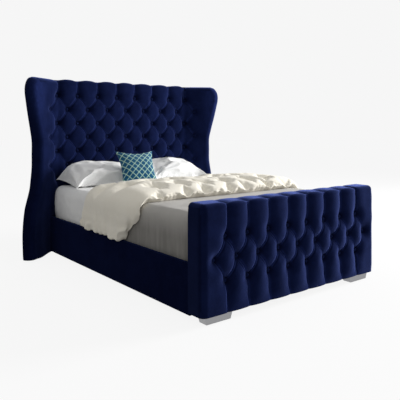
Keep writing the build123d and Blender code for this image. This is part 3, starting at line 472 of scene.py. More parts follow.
# Deep buttoning at places across and up a face. Folds run where half the sum or difference of the
# lattice coordinates is whole, and straight up and down past the outer rows. The depth is the
# fold's share not risen, plus a pit that falls off with the distance from the nearest button.
def tuftField(across, up, plan, edgePit=1.0):
    half, row, last = plan["half"], plan["row"], plan["last"]
    x, y = np.abs(across) / half, (plan["first"] - up) / row
    p, q, t = (x + y - 1) / 2 % 1, (x - y - 1) / 2 % 1, (x - 1) / 2 % 1
    width = 2 * half * row / np.hypot(half, row)
    beyond = np.maximum(np.maximum(-y, y - last), 0) * row
    inBand = (y >= 0) & (y <= last)
    begun = np.exp(-beyond / tufting["topBlend"])
    channelRise = puffRise(t) ** 2 * begun + puffRise(t, tufting["channelShoulder"]) * (1 - begun)
    rise = np.where(inBand, puffRise(p) * puffRise(q), channelRise)
    near = np.where(inBand, np.minimum(np.minimum(p, 1 - p), np.minimum(q, 1 - q)) * width,
                    np.minimum(t, 1 - t) * 2 * half)
    corners = [(zigzagInner if r % 2 == 0 else zigzagOuter, r) for r in range(last + 1)]
    corners = [(zigzagInner, -40)] + corners + [(zigzagInner, last + 40)]
    far = 9.0
    gap = np.full(x.shape, far)
    for start, end in zip(corners[:-1], corners[1:]):
        gap = np.minimum(gap, lineDistance(x * half, y * row, (start[0] * half, start[1] * row),
                                           (end[0] * half, end[1] * row)))
    zig = zigzagInner + np.where(inBand, 1 - np.abs(y % 2 - 1), 0)
    outside = x > zig
    rise = np.where(outside, puffRise(np.minimum(gap / width, 0.5)), rise)
    near = np.where(outside, gap, near)
    button = np.full(x.shape, far)
    depthHere = np.ones(x.shape)
    for r in range(last + 1):
        first = 1 if r % 2 == 0 else 0
        for k in range(first, zigzagOuter + 1, 2):
            distance = np.hypot((x - k) * half, (y - r) * row)
            closer = distance < button
            button = np.where(closer, distance, button)
            depthHere = np.where(closer, edgePit if k == zigzagOuter else 1.0, depthHere)
    pitGap = np.maximum(button - tufting["buttonRadius"], 0)
    pit = np.exp(-(pitGap / tufting["pitReach"]) ** 1.5) * depthHere
    channel = np.where(outside, 0, 1 - np.exp(-beyond / tufting["topBlend"]))
    fold = tufting["fold"] + (tufting["channel"] - tufting["fold"]) * channel
    depth = fold * (1 - rise) + tufting["pit"] * pit
    below = np.minimum(np.where(p < 0.5, p, far), np.where(q > 0.5, 1 - q, far)) * width
    tuck = np.exp(-((below - tufting["tuckAt"]) / tufting["tuckWidth"]) ** 2) * inBand * ~outside
    tuck = tuck * smooth(*tufting["tuckFrom"], button)
    depth += tufting["tuck"] * tuck
    # Painted shade darkens the tucks, the folds and the pits, and a painted highlight runs beside each fold
    # away from the buttons.
    foldDark = tufting["foldDark"] * np.exp(-(near / tufting["foldShade"]) ** 2)
    pitDark = tufting["pitDark"] * np.exp(-(button / tufting["pitShade"]) ** 2) * depthHere
    paintedShade = np.maximum(np.maximum(tufting["tuckDark"] * tuck, foldDark), pitDark)
    glow = np.exp(-((near - tufting["glowAt"]) / tufting["foldGlow"]) ** 2)
    glow = glow * smooth(*tufting["glowFrom"], button)
    leans = np.minimum(p, 1 - p) < np.minimum(q, 1 - q)
    leans = np.where(across < 0, ~leans, leans)
    return depth, glow, leans, paintedShade


# Mid-cell values of a grid, for what each cell does as a whole.
def midCells(values):
    return (values[:-1, :-1] + values[1:, 1:]) / 2


crown = {"frontY": 1.034, "joinX": 0.6895, "angle": radians(33), "valleyRadius": 0.060, "stretchFrom": 0.6,
         "wingButton": 0.114, "joinReach": 0.0092, "top": 1.525, "round": 0.033, "backY": 1.130,
         "innerY": 1.0795, "innerTop": 1.4935, "base": 0.400}


# Plan of the crown face: along the headboard, round the valley in an arc, then out along the wing.
# Buttons stand at whole steps of the pattern, so the steps beside the valley are drawn out a little.
def crownPath(across):
    side, a = np.sign(across), np.abs(across)
    turn, radius = crown["angle"], crown["valleyRadius"]
    tangent = radius * tan(turn / 2)
    start = crown["joinX"] - tangent
    middle = start + radius * turn / 2
    wingStart = start + radius * turn - crown["joinReach"] - tangent
    outer = wingStart + crown["wingButton"]
    knots = [0, crown["stretchFrom"], 0.7, 0.8, 1.8]
    run = np.interp(a, knots, [0, crown["stretchFrom"], middle, outer, outer + 1.0])
    bend = np.clip((run - start) / radius, 0, turn)
    straight = np.maximum(run - start - radius * turn, 0)
    x = np.minimum(run, start) + radius * np.sin(bend) + straight * cos(turn)
    y = crown["frontY"] - radius * (1 - np.cos(bend)) - straight * sin(turn)
    return x * side, y, -np.sin(bend) * side, -np.cos(bend)


# Headboard pad: front rows up to the rounding, an arc over the top edge, the top back to the rear,
# and three rows behind that close the section. Every point lies its depth inside the crown face.
def makeHeadboardPad():
    steps = headPlan["steps"]
    a = np.linspace(-0.7, 0.7, 14 * steps + 1)
    px, py, nx, ny = crownPath(a)
    radius = crown["round"]
    shoulder = crown["top"] - radius
    z = headPlan["first"] - headPlan["row"] / steps * np.arange(200, -40, -1)
    between = z[(z > crown["base"] + 0.002) & (z < shoulder - 0.002)]
    z = np.concatenate([[crown["base"]], between, [shoulder]])
    turn = np.radians(np.linspace(90 / 9, 90, 9))
    back = np.linspace(0.2, 1, 5)
    up = np.concatenate([z, shoulder + radius * turn, crown["top"] + 0.02 + 0.07 * back])
    across, height = np.meshgrid(a, up)
    depth, glow, _, paintedShade = tuftField(across, height, headPlan)
    depth += tufting["creaseHeight"] * ripple(across, height, 0.16, 3) * smooth(0, 0.012, 0.03 - depth)
    rows = []
    full = (crown["backY"] - py) / -ny
    for i, level in enumerate(z):
        rows.append((depth[i], np.full(len(a), level)))
    for j, angle in enumerate(turn):
        keep = 1 - (1 - tufting["topKeep"]) * sin(angle)
        d = depth[len(z) + j] * keep
        rows.append((radius - (radius - d) * cos(angle), shoulder + (radius - d) * sin(angle)))
    for j, share in enumerate(back):
        d = depth[len(z) + len(turn) + j] * tufting["topKeep"] * (1 - 0.35 * share ** 2)
        rows.append((radius + (full - radius) * share, crown["top"] - d))
    inner = (crown["innerY"] - py) / -ny
    rows += [(full, np.full(len(a), crown["innerTop"])), (inner, np.full(len(a), crown["innerTop"])),
             (inner, np.full(len(a), crown["base"]))]
    points = np.stack([np.stack([px - nx * t, py - ny * t, h], -1) for t, h in rows])
    leans = tuftField(midCells(across), midCells(height), headPlan)[2]
    leans = np.vstack([leans, np.zeros((len(rows) - len(up) + 1, len(a) - 1), bool)])
    glow, paintedShade = [np.vstack([mark, np.zeros((3, len(a)))]) for mark in (glow, paintedShade)]
    count = len(rows)
    cells = gridCells(count, len(a), wrapRows=True, leans=leans)
    ends = [np.arange(count)[None, :] * len(a) + column for column in (0, len(a) - 1)]
    # Its marks carry the painted highlights beside the folds and the painted shade in the folds, tucks and
    # pits.
    pad = makePiece("headboardPad", points, cells + ends, "velvet", "bed_frame", ["headboard_pad"],
                    marks={"paintedHighlight": glow, "paintedShade": paintedShade})


wing = {"front": 0.033, "back": -0.0622, "boardFace": -0.0342, "lip": 0.026, "round": 0.046, "roll": 0.074,
        "backRound": 0.008, "top": 1.520, "base": 0.030, "toeUp": 0.005, "heel": 0.29, "ogeeEnd": 0.10,
        "ogeeUp": (0.03, 0.16), "bendUp": 1.32, "dome": 0.007, "seamUp": 1.0, "rootX": 0.7, "rootY": 1.067,
        "crownReach": crown["wingButton"], "flatFrom": (0.84, 0.95), "rimGlow": 0.9, "faceGlow": 0.6,
        "rimShade": 0.85, "shadeColumns": 6.0}
wingOutline = {"reach": (0.375, 0.3795, 0.388, 0.389, 0.377, 0.361, 0.329, 0.298, 0.2835, 0.271, 0.2695,
                         0.2705, 0.290, 0.322, 0.349, 0.3605, 0.3615, 0.346, 0.318, 0.279),
               "up": (0.005, 0.03, 0.134, 0.22, 0.34, 0.42, 0.50, 0.58, 0.66, 0.745, 0.87, 0.985,
                      1.075, 1.20, 1.32, 1.38, 1.42, 1.473, 1.506, 1.520)}


# Outline of the wing by its length from the toe: reach and height flow through the outline's marks.
def outlineAt(length=None, level=None):
    reach, up = np.array(wingOutline["reach"]), np.array(wingOutline["up"])
    marks = np.concatenate([[0], np.cumsum(np.hypot(np.diff(reach), np.diff(up)))])
    fine = np.linspace(0, marks[-1], 900)
    fineReach, fineUp = flow(fine, marks, reach), flow(fine, marks, up)
    if level is not None:
        return np.interp(level, fineUp, fine)
    r, u = np.interp(length, fine, fineReach), np.interp(length, fine, fineUp)
    step = 0.004
    dr = np.interp(length + step, fine, fineReach) - np.interp(length - step, fine, fineReach)
    du = np.interp(length + step, fine, fineUp) - np.interp(length - step, fine, fineUp)
    size = np.hypot(dr, du)
    return r, u, -du / size, dr / size, fine[-1]


# A place on the right-hand wing from its reach, height and rise out of the wing's mid plane.
def wingPlace(reach, up, rise):
    turn = crown["angle"]
    return np.stack(np.broadcast_arrays(wing["rootX"] + reach * cos(turn) - rise * sin(turn),
                                        wing["rootY"] - reach * sin(turn) - rise * cos(turn), up), -1)


# Places behind the crown face of valley and wing, by pattern coordinate, height and rise.
def valleyPlace(across, up, rise):
    px, py, nx, ny = crownPath(across)
    lean = -nx * sin(crown["angle"]) - ny * cos(crown["angle"])
    t = (wing["front"] - rise) / lean
    return np.stack(np.broadcast_arrays(px - nx * t, py - ny * t, up), -1)


# Section round the rim: inset from the outline and rise, from the front face to the board's face.
def rimSection():
    turn = np.radians(np.linspace(0, 90, 9))
    front = [(wing["round"] * (1 - sin(a)), wing["front"] - wing["roll"] * (1 - cos(a))) for a in turn]
    low = wing["back"] + wing["backRound"]
    side = [(0.0, rise) for rise in np.linspace(front[-1][1], low, 7)[1:]]
    rear = [(wing["backRound"] * (1 - cos(a)), low - wing["backRound"] * sin(a))
            for a in np.radians((30, 60, 90))]
    return np.array(front + side + rear + [(wing["lip"], wing["back"]), (wing["lip"], wing["boardFace"])])


# Wing pad: a front face between the valley and the outline, a rim carried round the side and the
# top, and flat closing faces below, behind and along the valley. The buttoned strip by the valley
# follows the headboard's pattern, and the rest is a slightly domed smooth face.
def makeWingPads():
    steps = headPlan["steps"]
    faceTop = wing["top"] - wing["round"]
    z = headPlan["first"] - headPlan["row"] / steps * np.arange(240, -40, -1)
    z = np.concatenate([[wing["base"]], z[(z > wing["base"] + 0.002) & (z < faceTop - 0.002)], [faceTop]])
    a = np.linspace(0.7, 0.8, steps + 1)
    u = np.linspace(0, 1, 37)[1:]
    bendUp = wing["bendUp"]
    lowered = np.clip(z - 0.025 * (1 - smooth(0.03, 0.3, z)), wing["toeUp"], 2)
    length = np.where(z <= bendUp, outlineAt(level=lowered), 0)
    start, full = outlineAt(level=bendUp), outlineAt(length=np.zeros(1))[4]
    length = np.where(z > bendUp, start + (z - bendUp) / (faceTop - bendUp) * (full - start), length)
    length[0] = 0
    rimReach, rimUp, inReach, inUp, _ = outlineAt(length=length)
    inReach[-1], inUp[-1] = 0, -1
    rimReach[-1], rimUp[-1] = wingOutline["reach"][-1], wing["top"]
    section = rimSection()
    edgeReach = rimReach + inReach * section[0, 0]
    edgeUp = rimUp + inUp * section[0, 0]
    reach = wing["crownReach"] + (edgeReach[:, None] - wing["crownReach"]) * u
    up = z[:, None] + (edgeUp - z)[:, None] * u
    dip = wing["toeUp"] - wing["base"]
    ogee = wing["base"] + dip * smooth(wing["ogeeEnd"], wing["heel"], reach)
    up = up + (ogee - (wing["base"] + dip * u)) * (1 - smooth(*wing["ogeeUp"], z))[:, None]
    pattern = 0.8 + reach - wing["crownReach"]
    across = np.concatenate([np.broadcast_to(a, (len(z), len(a))), pattern], 1)
    height = np.concatenate([np.broadcast_to(z[:, None], (len(z), len(a))), up], 1)
    depth, glow, _, paintedShade = tuftField(across, height, headPlan, tufting["edgePit"])
    inset = np.concatenate([np.full((len(z), len(a)), 1.0), (edgeReach[:, None] - reach)], 1)
    flatPart = smooth(*wing["flatFrom"], across)
    dome = wing["dome"] * smooth(0.86, 1.0, across) * smooth(0.0, 0.10, inset)
    dome = dome * smooth(0, 0.12, wing["top"] - height)
    wave = 0.0016 * ripple(across, height, 0.22, 8) * flatPart * smooth(0.0, 0.05, inset)
    rise = wing["front"] - depth + dome + wave
    near = valleyPlace(across[:, :len(a)], height[:, :len(a)], rise[:, :len(a)])
    far = wingPlace(reach, up, rise[:, len(a):])
    face = np.concatenate([near, far], 1)
    mids = tuftField(midCells(across), midCells(height), headPlan)[2]
    columns = face.shape[1]
    edgeGroove = 0.7 * np.exp(-((height - wing["seamUp"]) / 0.0035) ** 2) * smooth(0.84, 0.86, across)
    # the rim along the side, row by row of the face
    side = wingPlace(rimReach[:, None] + inReach[:, None] * section[:, 0],
                     rimUp[:, None] + inUp[:, None] * section[:, 0],
                     np.broadcast_to(section[:, 1], (len(z), len(section))))
    side[:, 0] = face[:, -1]
    # the rim along the top, column by column of the face
    topDepth = depth[-1] * tufting["topKeep"]
    fade = np.clip((wing["front"] - section[:, 1]) / wing["roll"], 0, 1)
    drop = topDepth[:, None] * np.where(section[:, 1] > -0.05, fade, 0)
    sink = depth[-1][:, None] * (1 - fade)
    topUp = wing["top"] - section[:, 0] - drop
    topRise = section[:, 1] - sink
    topNear = valleyPlace(across[-1, :len(a), None], topUp[:len(a)], topRise[:len(a)])
    topFar = wingPlace(reach[-1][:, None], topUp[len(a):], topRise[len(a):])
    top = np.concatenate([topNear, topFar], 0)
    top[:, 0] = face[-1]
    top[-1] = side[-1]
    parts = [face, side, top]
    firsts = np.cumsum([0] + [p.shape[0] * p.shape[1] for p in parts])
    backReach = crown["joinReach"] - tan(crown["angle"] / 2) * (wing["front"] - wing["boardFace"])
    corner = wingPlace(np.array([backReach, backReach, backReach]),
                       np.array([wing["base"], wing["top"] - wing["lip"], wing["base"]]), wing["boardFace"])
    points = np.concatenate([p.reshape(-1, 3) for p in parts] + [corner])
    cells = gridCells(len(z), columns, leans=mids)
    cells += gridCells(len(z), len(section), first=firsts[1])
    cells += gridCells(columns, len(section), first=firsts[2])
    faceIndex = np.arange(len(z) * columns).reshape(len(z), columns)
    sideIndex = firsts[1] + np.arange(len(z) * len(section)).reshape(len(z), len(section))
    topIndex = firsts[2] + np.arange(columns * len(section)).reshape(columns, len(section))
    low = firsts[3]
    cells.append(np.concatenate([faceIndex[0], sideIndex[0][1:], [low]])[None, :])
    cells.append(np.concatenate([faceIndex[:, 0], topIndex[0][1:], [low]])[None, :])
    cells.append(np.concatenate([sideIndex[:, -1], topIndex[::-1, -1][1:], [low]])[None, :])
    # marks for the velvet: painted highlights beside the folds, high up on the face and on the rim's front
    # high up, and painted shade in the folds and pits and over the rim's flat side, deepest low down
    marks, grooves, shade = np.zeros((3, len(points)))
    glow = np.maximum(glow, wing["faceGlow"] * smooth(0.95, 1.4, height) * flatPart)
    overEdge = np.exp(-(np.arange(len(section)) / wing["shadeColumns"]) ** 2)
    highlightShare = wing["rimGlow"] * smooth(0.95, 1.35, z)[:, None] * overEdge
    paintedRimShade = wing["rimShade"] * (1 - 0.4 * smooth(0.35, 1.0, z))[:, None] * (1 - overEdge)
    onFace, onRim = slice(0, firsts[1]), slice(firsts[1], firsts[2])
    marks[onFace], grooves[onFace], shade[onFace] = glow.ravel(), edgeGroove.ravel(), paintedShade.ravel()
    marks[onRim], shade[onRim] = highlightShare.ravel(), paintedRimShade.ravel()
    for name, shape in (("right", points), ("left", mirrored(points))):
        pad = makePiece("wingPad" + name.capitalize(), shape, cells, "velvet", "bed_frame",
                        ["wing_pad_" + name],
                        marks={"paintedHighlight": marks, "seam": grooves, "paintedShade": shade})


backPanel = {"clear": 0.0008, "thick": 0.0042, "cleatReach": 0.16, "inset": 0.012, "postX": 0.7974,
             "postY": 1.1342, "low": 0.033, "high": 1.508, "bendUp": 1.40, "bendIn": 0.085,
             "bulge": 0.0025, "proud": 0.0045, "underShare": 0.9, "bridgeOut": (0.83, 0.55, 0),
             "bridgeIn": (0.55, 0.8, 0)}


# Wing's back panel: cloth from the rim across the wing's back, then bent over the cleat to the
# headboard's rear corner. Rows follow the outline, and the section is a thin closed pad.
def makeWingBacks():
    b = backPanel
    z = np.linspace(b["low"], b["high"], 90)
    reach = outlineAt(length=outlineAt(level=np.clip(z, wing["toeUp"], 1.42)))[0]
    arc = np.clip((z - b["bendUp"]) / (b["high"] - b["bendUp"]), 0, 1)
    bendReach = outlineAt(length=outlineAt(level=np.array([b["bendUp"]])))[0]
    bent = bendReach - b["bendIn"] * (1 - np.sqrt(1 - 0.96 * arc ** 2))
    reach = np.where(z > b["bendUp"], bent, reach) - b["inset"]
    u = np.linspace(0, 1, 22)
    flat = b["cleatReach"] + (reach[:, None] - b["cleatReach"]) * u
    ogee = (wing["toeUp"] - wing["base"]) * smooth(wing["ogeeEnd"], wing["heel"], flat)
    up = z[:, None] + ogee * (1 - smooth(*wing["ogeeUp"], z))[:, None]
    outer = wingPlace(flat, up, np.full(flat.shape, wing["back"] - b["clear"]))
    bulge = b["bulge"] * np.sin(pi * u) ** 0.5
    normal = np.array([sin(crown["angle"]), cos(crown["angle"]), 0])
    outer = outer + normal * (b["thick"] + bulge)[None, :, None]
    rear = np.stack([np.full(len(z), b["postX"]), np.full(len(z), b["postY"]), z], -1)
    v = np.linspace(0, 1, 10)[:-1]
    bridge = rear[:, None] + (outer[:, 0] - rear)[:, None] * v[None, :, None]
    proud = b["proud"] * np.sin(pi * v) ** 0.5
    bridge = bridge + np.array(b["bridgeOut"])[None, None, :] * proud[None, :, None]
    skin = np.concatenate([bridge, outer], 1)
    under = skin - np.array(b["bridgeIn"]) * b["thick"] * b["underShare"]
    under[:, len(v):] = outer - normal * (b["thick"] * b["underShare"] + bulge)[None, :, None]
    loop = np.concatenate([skin, under[:, ::-1]], 1)
    count = loop.shape[1]
    cells = gridCells(len(z), count, wrapColumns=True)
    cells += [np.arange(count)[None, :], (len(z) - 1) * count + np.arange(count)[None, :]]
    for name, shape in (("right", loop), ("left", mirrored(loop))):
        panel = makePiece("wingBack" + name.capitalize(), shape, cells, "velvet", "bed_frame",
                          ["wing_back_cover_" + name])


footboard = {"half": 0.795, "frontY": -1.135, "rearY": -1.005, "top": 0.675, "base": 0.05, "edge": 0.029,
             "corner": 0.038, "coreHalf": 0.7795, "coreY": -1.0895, "coreTop": 0.6595,
             "topLimit": 0.0142, "endShade": 0.45}


# Footboard pad: a U-shaped path round the front and both ends, carried up the face, over the edge
# and in to the corner's centre, then a flat top back to the rear, closed below and behind.
def makeFootboardPad():
    f = footboard
    steps = footPlan["steps"]
    straight = f["half"] - f["corner"]
    cornerY = f["frontY"] + f["corner"]
    x = np.arange(0, straight - 0.002, footPlan["half"] / steps)
    x = np.append(x, straight)
    x = np.concatenate([-x[:0:-1], x])
    turn = np.radians(np.linspace(0, 90, 8))[1:]
    ends = np.linspace(cornerY, f["rearY"], 9)[1:]
    arcX, arcY = straight + f["corner"] * np.sin(turn), cornerY - f["corner"] * np.cos(turn)
    rightX = np.concatenate([arcX, np.full(len(ends), f["half"])])
    rightY = np.concatenate([arcY, ends])
    rightNx = np.concatenate([np.sin(turn), np.ones(len(ends))])
    rightNy = np.concatenate([-np.cos(turn), np.zeros(len(ends))])
    rightS = straight + np.concatenate([f["corner"] * turn, f["corner"] * pi / 2 + (ends - cornerY)])
    px = np.concatenate([-rightX[::-1], x, rightX])
    py = np.concatenate([rightY[::-1], np.full(len(x), f["frontY"]), rightY])
    nx = np.concatenate([-rightNx[::-1], np.zeros(len(x)), rightNx])
    ny = np.concatenate([rightNy[::-1], np.full(len(x), -1.0), rightNy])
    s = np.concatenate([-rightS[::-1], x, rightS])
    radius = f["edge"]
    shoulder = f["top"] - radius
    z = footPlan["first"] - footPlan["row"] / steps * np.arange(120, -60, -1)
    z = np.concatenate([[f["base"]], z[(z > f["base"] + 0.002) & (z < shoulder - 0.002)], [shoulder]])
    over = np.radians(np.linspace(90 / 8, 90, 8))
    inward = np.linspace(radius, f["corner"], 3)[1:]
    up = np.concatenate([z, shoulder + radius * over, f["top"] + inward])
    across, height = np.meshgrid(s, up)
    depth, glow, _, paintedShade = tuftField(across, height, footPlan)
    leans = tuftField(midCells(across), midCells(height), footPlan)[2]
    creases = tufting["creaseHeight"] * ripple(across, height, 0.15, 5)
    depth += creases * smooth(0, 0.012, 0.03 - depth) * (np.abs(across) < 0.78)
    depth *= 0.3 + 0.7 * smooth(0.0, 0.07, height - f["base"])
    fullness = 0.003 * smooth(0.0, 0.06, height - f["base"]) * smooth(0, 0.05, shoulder - height)
    rows = [(depth[i] - fullness[i], np.full(len(s), level)) for i, level in enumerate(z)]
    for j, angle in enumerate(over):
        d = depth[len(z) + j] * (1 - (1 - tufting["topKeep"]) * sin(angle))
        d = np.minimum(d, f["topLimit"] + (1 - sin(angle)) * radius)
        rows.append((radius - (radius - d) * cos(angle), shoulder + (radius - d) * sin(angle)))
    topDepth = np.minimum(depth[len(z) + len(over)] * tufting["topKeep"], f["topLimit"])
    for t in inward:
        rows.append((np.full(len(s), t), f["top"] - topDepth))
    points = np.stack([np.stack([px - nx * t, py - ny * t, h], -1) for t, h in rows])
    flatX = px[len(rightX):-len(rightX)]
    flatDepth = topDepth[len(rightX):-len(rightX)]
    flatY = np.concatenate([[cornerY], ends])
    gridX, gridY = np.meshgrid(flatX, flatY)
    keep = 1 - 0.75 * smooth(cornerY + 0.02, f["rearY"], gridY)
    top = np.stack([gridX, gridY, f["top"] - flatDepth * keep], -1)
    core = [(sx * f["coreHalf"], y, h) for y, h, sx in
            ((f["rearY"], f["base"], 1), (f["coreY"], f["base"], 1), (f["coreY"], f["base"], -1),
             (f["rearY"], f["base"], -1), (f["rearY"], f["coreTop"], 1), (f["coreY"], f["coreTop"], 1),
             (f["coreY"], f["coreTop"], -1), (f["rearY"], f["coreTop"], -1))]
    first = points.shape[0] * points.shape[1]
    second = first + top.shape[0] * top.shape[1]
    index = np.arange(first).reshape(points.shape[:2])
    topIndex = first + np.arange(second - first).reshape(top.shape[:2])
    c = second + np.arange(8)
    cells = gridCells(*points.shape[:2], leans=leans) + gridCells(*top.shape[:2], first=first)
    cells.append(np.concatenate([index[0], c[[0, 1, 2, 3]]])[None, :])
    cells.append(np.concatenate([index[:, 0], topIndex[-1], index[::-1, -1], c[[0, 4, 7, 3]]])[None, :])
    cells.append(np.stack([c[[0, 1, 5, 4]], c[[2, 3, 7, 6]], c[[1, 2, 6, 5]], c[[4, 5, 6, 7]]]))
    allPoints = np.concatenate([points.reshape(-1, 3), top.reshape(-1, 3), np.array(core)])
    # Marks: painted highlights beside the folds, and painted shade in the folds and pits and over both end
    # faces.
    onEnd = np.abs(points[..., 0]) > footboard["half"] - 0.002
    marks, shade = np.zeros((2, len(allPoints)))
    marks[:first] = glow.ravel()
    shade[:first] = np.maximum(paintedShade, footboard["endShade"] * onEnd).ravel()
    pad = makePiece("footboardPad", allPoints, cells, "velvet", "bed_frame", ["footboard_pad"],
                    marks={"paintedHighlight": marks, "paintedShade": shade})


railCover = {"outerX": 0.790, "boardX": 0.7823, "lipX": 0.760, "top": 0.328, "base": 0.034,
             "boardTop": 0.3203, "boardBase": 0.0417, "frontY": -1.0045, "rearY": 1.0475, "edge": 0.0075,
             "fullness": 0.004, "waveHeight": 0.0009, "shade": 0.5}


# A closed section in x and z carried along y. The middle bulges and ripples by a share of each
# section point's own outwardness.
def carryAlong(section, outward, ys, bulge):
    y = np.broadcast_to(ys[:, None], (len(ys), len(section)))
    x = section[:, 0] + bulge * outward
    points = np.stack([x, y, np.broadcast_to(section[:, 1], y.shape)], -1)
    cells = gridCells(len(ys), len(section), wrapColumns=True)
    count = len(section)
    return points, cells + [np.arange(count)[None, :], (len(ys) - 1) * count + np.arange(count)[None, :]]


# Rail covers: a section up the board's outer face and in over both its edges, carried along the
# rail. Its face bulges as half a sine of its height.
def makeRailCovers():
    r = railCover
    rise = np.linspace(0, 1, 26)[1:-1]
    low, high = r["base"] + r["edge"], r["top"] - r["edge"]
    turn = np.radians(np.linspace(0, 90, 6))
    under = [(r["outerX"] - r["edge"] + r["edge"] * sin(t), low - r["edge"] * cos(t)) for t in turn]
    over = [(r["outerX"] - r["edge"] + r["edge"] * cos(t), high + r["edge"] * sin(t)) for t in turn]
    face = [(r["outerX"], low + (high - low) * t) for t in rise]
    inner = [(r["lipX"], r["top"]), (r["lipX"], r["boardTop"]), (r["boardX"], r["boardTop"]),
             (r["boardX"], r["boardBase"]), (r["lipX"], r["boardBase"]), (r["lipX"], r["base"])]
    section = np.array(under + face + over + inner)
    ys = np.linspace(r["frontY"], r["rearY"], 150)
    share = np.clip((section[:, 1] - low) / (high - low), 0, 1)
    outward = np.where(section[:, 0] > r["outerX"] - 1e-6, np.sin(pi * share), 0)
    along = (ys - r["frontY"]) / (r["rearY"] - r["frontY"])
    swell = r["fullness"] * (1 - 0.3 * np.cos(2 * pi * along))[:, None]
    wave = r["waveHeight"] * ripple(ys[:, None], section[None, :, 1], 0.3, 12)
    points, cells = carryAlong(section, outward[None, :], ys, swell + wave)
    # Each cover carries even painted shade over all of it, on top of its shaded velvet copy.
    for name, shape in (("right", points), ("left", mirrored(points))):
        cover = makePiece("railCover" + name.capitalize(), shape, cells, "shaded_rail_velvet", "bed_frame",
                          ["side_rail_cover_" + name],
                          marks={"paintedShade": np.full(shape.size // 3, r["shade"])})


# A thin upright pad facing along y: a rounded border round a face that bulges like a drum skin.
def makePanel(name, node, x, z, yBack, yFace, finish, bulge, border=0.004):
    wide, tall = x[1] - x[0], z[1] - z[0]
    u, v = [np.concatenate([[0, border], np.linspace(0, 1, count)[1:-1] * size, [size - border, size]])
            for size, count in ((wide, 44), (tall, 34))]
    gu, gv = np.meshgrid(u, v)
    shareU, shareV = gu / wide, gv / tall
    edge = np.minimum(np.minimum(gu, u[-1] - gu), np.minimum(gv, v[-1] - gv))
    lift = np.sqrt(np.clip(1 - (1 - np.clip(edge / border, 0, 1)) ** 2, 0, 1))
    drum = bulge * (np.sin(pi * shareU) * np.sin(pi * shareV)) ** 0.5
    drum = drum + 0.15 * bulge * ripple(gu, gv, 0.3, 21) * smooth(0, 0.05, edge)
    sign = np.sign(yFace - yBack)
    face = np.stack([x[0] + gu, yBack + (yFace - yBack) * (0.3 + 0.7 * lift) + sign * drum, z[0] + gv], -1)
    rear = np.stack([x[0] + gu, np.full(gu.shape, yBack), z[0] + gv], -1)
    count = gu.size
    index = np.arange(count).reshape(gu.shape)
    ring = np.concatenate([index[0, :-1], index[:-1, -1], index[-1, :0:-1], index[:0:-1, 0]])
    walls = np.stack([ring, np.roll(ring, -1), np.roll(ring, -1) + count, ring + count], -1)
    cells = gridCells(*gu.shape) + [walls, (ring + count)[None, :]]
    used = np.concatenate([face.reshape(-1, 3), rear.reshape(-1, 3)])
    piece = makePiece(name, used, cells, finish, "bed_frame", [node])
    dropLoose(piece)


# Removes points that no face uses.
def dropLoose(piece):
    work = bmesh.new()
    work.from_mesh(piece.data)
    bmesh.ops.delete(work, geom=[v for v in work.verts if not v.link_faces], context="VERTS")
    work.to_mesh(piece.data)
    work.free()


makeHeadboardPad()
makeWingPads()
makeWingBacks()
makeFootboardPad()
makeRailCovers()
print("stage: frame upholstered")

mattress = {"half": 0.75, "footY": -0.9855, "headY": 1.0145, "base": 0.290, "top": 0.590, "corner": 0.08,
            "edge": 0.056, "quilt": 0.18, "quiltDepth": 0.006}


# Plan outline of the mattress from the left side's head end, round the foot to the right and back
# round the head: points, outward directions and the nearest place on the bed's middle line.
def bedRound(startY=None, closed=True):
    m = mattress
    a, r = m["half"], m["corner"]
    sideY = np.linspace(m["headY"] - r, m["footY"] + r, 92)
    if startY is not None:
        sideY = sideY[sideY < startY - 0.004]
        sideY = np.concatenate([[startY], sideY])
    turn = np.radians(np.linspace(0, 90, 9))[1:-1]
    footX = np.linspace(-(a - r), a - r, 67)
    px = [np.full(len(sideY), -a), -(a - r) - r * np.cos(turn), footX, (a - r) + r * np.sin(turn),
          np.full(len(sideY), a)]
    py = [sideY, m["footY"] + r - r * np.sin(turn), np.full(len(footX), m["footY"]),
          m["footY"] + r - r * np.cos(turn), sideY[::-1]]
    nx = [np.full(len(sideY), -1.0), -np.cos(turn), np.zeros(len(footX)), np.sin(turn), np.ones(len(sideY))]
    ny = [np.zeros(len(sideY)), -np.sin(turn), np.full(len(footX), -1.0), -np.cos(turn),
          np.zeros(len(sideY))]
    if closed:
        px += [(a - r) + r * np.cos(turn), footX[::-1], -(a - r) - r * np.sin(turn)]
        py += [m["headY"] - r + r * np.sin(turn), np.full(len(footX), m["headY"]),
               m["headY"] - r + r * np.cos(turn)]
        nx += [np.cos(turn), np.zeros(len(footX)), -np.sin(turn)]
        ny += [np.sin(turn), np.ones(len(footX)), np.cos(turn)]
    px, py, nx, ny = [np.concatenate(part) for part in (px, py, nx, ny)]
    middle = (m["footY"] + m["headY"]) / 2
    reach = (m["headY"] - m["footY"]) / 2 - a
    return px, py, nx, ny, np.clip(py, middle - reach, middle + reach)


